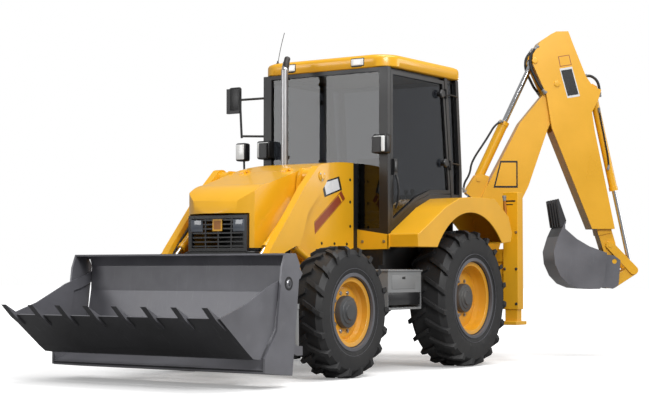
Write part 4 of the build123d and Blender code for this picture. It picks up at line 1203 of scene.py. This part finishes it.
    def _bolts(self) -> None:
        """Bolts through the front sills and on the front of each leg's tower."""
        m, ahead = self.machine, Vector((1, 0, 0))
        for side in Side:
            spots = [(m.at(1.115, side.value * y, 1.27), ahead) for y in (0.47, 0.72)]
            spots += [(m.at(-1.105, side.value * y, z), ahead) for y in (0.90, 1.04) for z in (0.62, 1.00, 1.40)]
            m.fasteners.place(f"body_bolts_{side.word}", spots, "chassis", STEEL, head=0.012)


@dataclass
class Loader:
    """Loader arms, cylinders and the clamshell bucket."""

    machine: Machine
    cheek_pin: tuple[float, float] = (3.395, 0.875)
    arm_pin: tuple[float, float] = (2.060, 1.870)
    boss_bolts: float = 0.036

    def build(self) -> None:
        """Dress the loader."""
        m = self.machine
        m.dress_all((
            ("loader_arms", YELLOW, 0.006), ("loader_bucket", BUCKET, 0.004), ("clam_jaw", BUCKET, 0.004),
            ("lift_barrels", YELLOW, 0.003), ("tilt_barrels", YELLOW, 0.003), ("clam_barrels", FRAME_GREY, 0.003),
            ("lift_rods", CHROME, 0.002), ("tilt_rods", CHROME, 0.002), ("clam_rods", CHROME, 0.002)))
        # Painted shade: the downward faces of the loader bucket's underside and of the clam jaw get the dark steel
        # because they face the ground.
        m.accent("loader_bucket", WORN_AND_SHADE_STEEL, lambda at, way: at.z < 0.30 and way.z < -0.2)
        m.accent("clam_jaw", WORN_AND_SHADE_STEEL, lambda at, way: way.z < -0.55)
        for side in Side:
            self._arm_pipes(side)
        self._cheek_pins()
        LOG.info("loader dressed")

    def _arm_pipes(self, side: Side) -> None:
        """Hard lines along the inner face of one arm, and the boss over its pivot.

        Args:
            side: Side of the machine.
        """
        m, k, (px, pz) = self.machine, side.value, self.arm_pin
        for index, shift in enumerate((0.0, 0.035)):
            route = [m.at(x + shift, k * 0.540, z) for x, z in ((2.20, 1.74), (2.52, 1.42), (2.78, 1.16), (2.92, 0.93))]
            m.hose(f"arm_line_{side.word}_{index}", route, 0.010, BLACK, "loader_arms")
        boss = [(0.0, 0.0), (0.052, 0.0), (0.050, 0.010), (0.030, 0.014), (0.028, 0.020), (0.0, 0.020)]
        m.turned(f"arm_boss_{side.word}", boss, m.at(px, k * 0.622, pz), side.out, YELLOW, "loader_arms", 36)
        spots = [(m.at(px + self.boss_bolts * math.cos(a), k * 0.633, pz + self.boss_bolts * math.sin(a)), side.out)
                 for a in (0.5, 2.6, 4.7)]
        m.fasteners.place(f"arm_bolts_{side.word}", spots, "loader_arms", STEEL, head=0.008)

    def _cheek_pins(self) -> None:
        """Pin boss and pin head on each cheek of the bucket."""
        m, (x, z) = self.machine, self.cheek_pin
        boss = [(0.0, 0.0), (0.062, 0.0), (0.062, 0.010), (0.056, 0.014), (0.040, 0.014), (0.038, 0.006), (0.0, 0.006)]
        head = [(0.0, 0.004), (0.030, 0.004), (0.030, 0.016), (0.026, 0.020), (0.0, 0.020)]
        low, high = (Vector(c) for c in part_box("loader_bucket"))
        for side in Side:
            wall = high.y if side is Side.LEFT else low.y
            spot = Vector((m.origin.x + x, wall - side.value * 0.012, z))
            m.turned(f"cheek_boss_{side.word}", boss, spot, side.out, BLACK, "loader_bucket", 36)
            m.turned(f"cheek_pin_{side.word}", head, spot, side.out, STEEL, "loader_bucket", 24)


@dataclass
class Backhoe:
    """Everything behind the rear frame."""

    machine: Machine
    boom_half: float = 0.1150
    dipper_half: float = 0.1600
    worn_height: float = 1.33

    def build(self) -> None:
        """Dress the backhoe and the stabilisers."""
        m = self.machine
        m.dress_all((
            ("side_shift_carriage", YELLOW, 0.005), ("kingpost", YELLOW, 0.006), ("boom", YELLOW, 0.008),
            ("dipper", YELLOW, 0.008), ("inner_dipper", YELLOW, 0.006), ("hoe_bucket", BUCKET, 0.004),
            ("tipping_lever", YELLOW, 0.005), ("tipping_link", YELLOW, 0.005), ("boom_ram_barrel", YELLOW, 0.003),
            ("crowd_ram_barrel", YELLOW, 0.003), ("scoop_ram_barrel", YELLOW, 0.003), ("boom_ram_rod", CHROME, 0.002),
            ("crowd_ram_rod", CHROME, 0.002), ("scoop_ram_rod", CHROME, 0.002),
            ("stabiliser_leg_left", YELLOW, 0.005), ("stabiliser_leg_right", YELLOW, 0.005)))
        m.accent("hoe_bucket", WORN_AND_SHADE_STEEL, lambda at, way: at.z > self.worn_height)
        self._hoses()
        self._films()
        self._pins()
        LOG.info("backhoe dressed")

    def _hoses(self) -> None:
        """Hydraulic lines of the boom, the elbow and the dipper."""
        m = self.machine
        elbow = ((1.040, 0.140, 3.560), (0.960, 0.141, 3.480), (0.945, 0.141, 3.380), (0.960, 0.141, 3.290),
                 (1.015, 0.141, 3.180), (1.060, 0.141, 3.090), (1.128, 0.140, 3.020))
        table: tuple[tuple[str, str, float, Finish, tuple[Point, ...]], ...] = (
            ("crowd_line", "crowd_ram_barrel", 0.012, HOSE,
             ((0.640, -0.075, 2.700), (0.560, -0.080, 2.680), (0.455, -0.085, 2.500), (0.270, -0.085, 2.230),
              (0.255, -0.085, 2.090), (0.170, -0.085, 1.960), (0.185, -0.080, 1.880))),
            ("elbow_line", "dipper", 0.018, HOSE, tuple((r, -y, z) for r, y, z in elbow)),
            ("elbow_line_far", "dipper", 0.016, HOSE, elbow),
            ("scoop_line", "dipper", 0.016, HOSE,
             ((1.580, -0.060, 3.215), (1.640, -0.075, 3.245), (1.735, -0.090, 3.190), (1.770, -0.090, 3.080),
              (1.765, -0.080, 2.990))),
            ("scoop_pipe", "scoop_ram_barrel", 0.010, BLACK,
             ((1.765, -0.060, 2.860), (1.775, -0.062, 2.780), (1.840, -0.062, 2.450), (1.880, -0.062, 2.210),
              (1.868, -0.050, 2.150))))
        for name, body, radius, finish, points in table:
            m.hose(name, [m.hoe(*point) for point in points], radius, finish, body)

    def _films(self) -> None:
        """Blank films on the boom's and the dipper's side that shows."""
        m = self.machine
        way = m.hoe(0, -1, 0) - m.hoe(0, 0, 0)
        for name, body, half, layers, corners in (
                ("boom_plate", "boom", self.boom_half, ((1.0, PANEL_BLACK), (0.86, YELLOW)),
                 ((0.600, 2.240), (0.800, 2.240), (0.800, 1.930), (0.520, 1.930))),
                ("dipper_plate", "dipper", self.dipper_half, ((1.0, PLATE_WHITE), (0.86, PANEL_BLACK)),
                 ((1.284, 3.300), (1.430, 3.325), (1.520, 2.985), (1.374, 2.960))),
                ("dipper_film", "dipper", self.dipper_half, ((1.0, STRIPE), (0.88, YELLOW)),
                 ((1.268, 3.440), (1.398, 3.462), (1.426, 3.345), (1.290, 3.322)))):
            m.film(name, [m.hoe(r, -half, z) for r, z in corners], way, layers, body)

    def _pins(self) -> None:
        """Domed pin caps on the backhoe's joints."""
        m = self.machine
        cap = [(0.0, -0.002), (0.034, -0.002), (0.034, 0.006), (0.028, 0.011), (0.0, 0.012)]
        for name, body, r, z, y in (("foot", "boom", 0.360, 0.800, self.boom_half),
                                    ("elbow", "dipper", 1.255, 3.125, self.dipper_half),
                                    ("eye", "dipper", 1.000, 3.390, self.dipper_half)):
            for side, word in ((-1, "near"), (1, "far")):
                way = m.hoe(0, side, 0) - m.hoe(0, 0, 0)
                m.turned(f"pin_cap_{name}_{word}", cap, m.hoe(r, side * y, z), way, YELLOW, body, 28)


# ------------------------------------------------------------------ studio
@dataclass
class Studio:
    """Floor, light and camera."""

    machine: Machine
    camera_place: Point = (13.814, 8.622, 0.988)
    yaw: float = -145.880
    pitch: float = 2.547
    lens: float = 84.32
    floor_half: float = 60.0
    floor_near: float = 3.2
    floor_far: float = 7.0
    floor_glow: float = 0.26
    floor_lit: Colour = (0.34, 0.34, 0.34)
    floor_seen: Colour = (0.90, 0.90, 0.90)
    floor_rough: float = 0.9
    floor_gloss: float = 0.1
    ambient: float = 0.36
    lamps: Sequence[tuple[str, Point, float, float]] = (
        ("key", (8.0, 10.0, 9.0), 5.0, 1250.0), ("fill", (13.0, -8.0, 5.0), 5.0, 330.0),
        ("top", (0.0, 2.0, 11.0), 8.0, 800.0), ("rear", (-9.0, 9.0, 5.0), 5.0, 240.0))
    lamps_aim: Point = (0.5, 0.0, 1.2)

    def build(self) -> None:
        """Set the stage."""
        self._floor()
        self._lights()
        self._camera()
        LOG.info("studio set")

    @staticmethod
    def _seen(kit: Nodes) -> bpy.types.NodeSocket:
        """Socket that is 1 where the camera looks, directly or through glass."""
        path = kit.add("LightPath")
        return kit.maths("MAXIMUM", path.outputs["Is Camera Ray"], path.outputs["Is Transmission Ray"])

    def _floor(self) -> None:
        """Pale floor that shows white to the camera and keeps a soft shadow."""
        mesh, size = bpy.data.meshes.new("floor"), self.floor_half
        mesh.from_pydata([(-size, -size, 0), (size, -size, 0), (size, size, 0), (-size, size, 0)], [], [(0, 1, 2, 3)])
        floor = bpy.data.objects.new("floor", mesh)
        bpy.context.scene.collection.objects.link(floor)
        material = bpy.data.materials.new("PaleFloor")
        material.use_nodes = True
        shader = material.node_tree.nodes["Principled BSDF"]
        kit = Nodes(material.node_tree)
        shader.inputs["Roughness"].default_value = self.floor_rough
        shader.inputs["Specular IOR Level"].default_value = self.floor_gloss
        seen = self._seen(kit)
        far = kit.add("VectorMath", operation="LENGTH")
        kit.join(kit.add("TexCoord").outputs["Object"], far.inputs[0])
        lift = kit.ramp(far.outputs["Value"], self.floor_near, self.floor_far, self.floor_glow, 1.0)
        shader.inputs["Emission Color"].default_value = WHITE
        kit.join(kit.maths("MULTIPLY", lift, seen), shader.inputs["Emission Strength"])
        kit.join(kit.mix(seen, self.floor_lit, self.floor_seen), shader.inputs["Base Color"])
        mesh.materials.append(material)

    def _lights(self) -> None:
        """World light and four soft lamps."""
        world = bpy.data.worlds.new("studio")
        bpy.context.scene.world = world
        world.use_nodes = True
        tree = world.node_tree
        kit = Nodes(tree)
        plain, white, choose = tree.nodes["Background"], kit.add("Background"), kit.add("MixShader")
        for node, strength in ((plain, self.ambient), (white, 1.0)):
            node.inputs["Color"].default_value = WHITE
            node.inputs["Strength"].default_value = strength
        for source, target in ((self._seen(kit), choose.inputs[0]), (plain.outputs[0], choose.inputs[1]),
                               (white.outputs[0], choose.inputs[2]),
                               (choose.outputs[0], tree.nodes["World Output"].inputs[0])):
            kit.join(source, target)
        for name, place, size, power in self.lamps:
            light = bpy.data.lights.new(name, "AREA")
            light.size, light.energy = size, power
            lamp = bpy.data.objects.new(name, light)
            lamp.location = place
            lamp.visible_transmission = False
            lamp.rotation_euler = (Vector(self.lamps_aim) - Vector(place)).to_track_quat("-Z", "Y").to_euler()
            bpy.context.scene.collection.objects.link(lamp)

    def _camera(self) -> None:
        """Camera at the measured place."""
        data = bpy.data.cameras.new("camera")
        data.sensor_width, data.lens = 36.0, self.lens
        camera = bpy.data.objects.new("camera", data)
        yaw, pitch = math.radians(self.yaw), math.radians(self.pitch)
        way = Vector((math.cos(yaw) * math.cos(pitch), math.sin(yaw) * math.cos(pitch), math.sin(pitch)))
        camera.location = self.machine.at(*self.camera_place)
        camera.rotation_euler = way.to_track_quat("-Z", "Y").to_euler()
        bpy.context.scene.collection.objects.link(camera)
        bpy.context.scene.camera = camera
        bpy.context.scene.view_settings.view_transform = "Standard"


def main() -> None:
    """Build the looks in order."""
    logging.basicConfig(level=logging.INFO, format="%(name)s: %(message)s")
    FRAME.update(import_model())
    machine = Machine()
    for part in (Wheels(machine), Body(machine), Loader(machine), Backhoe(machine), Studio(machine)):
        part.build()


if __name__ == "__main__":
    main()
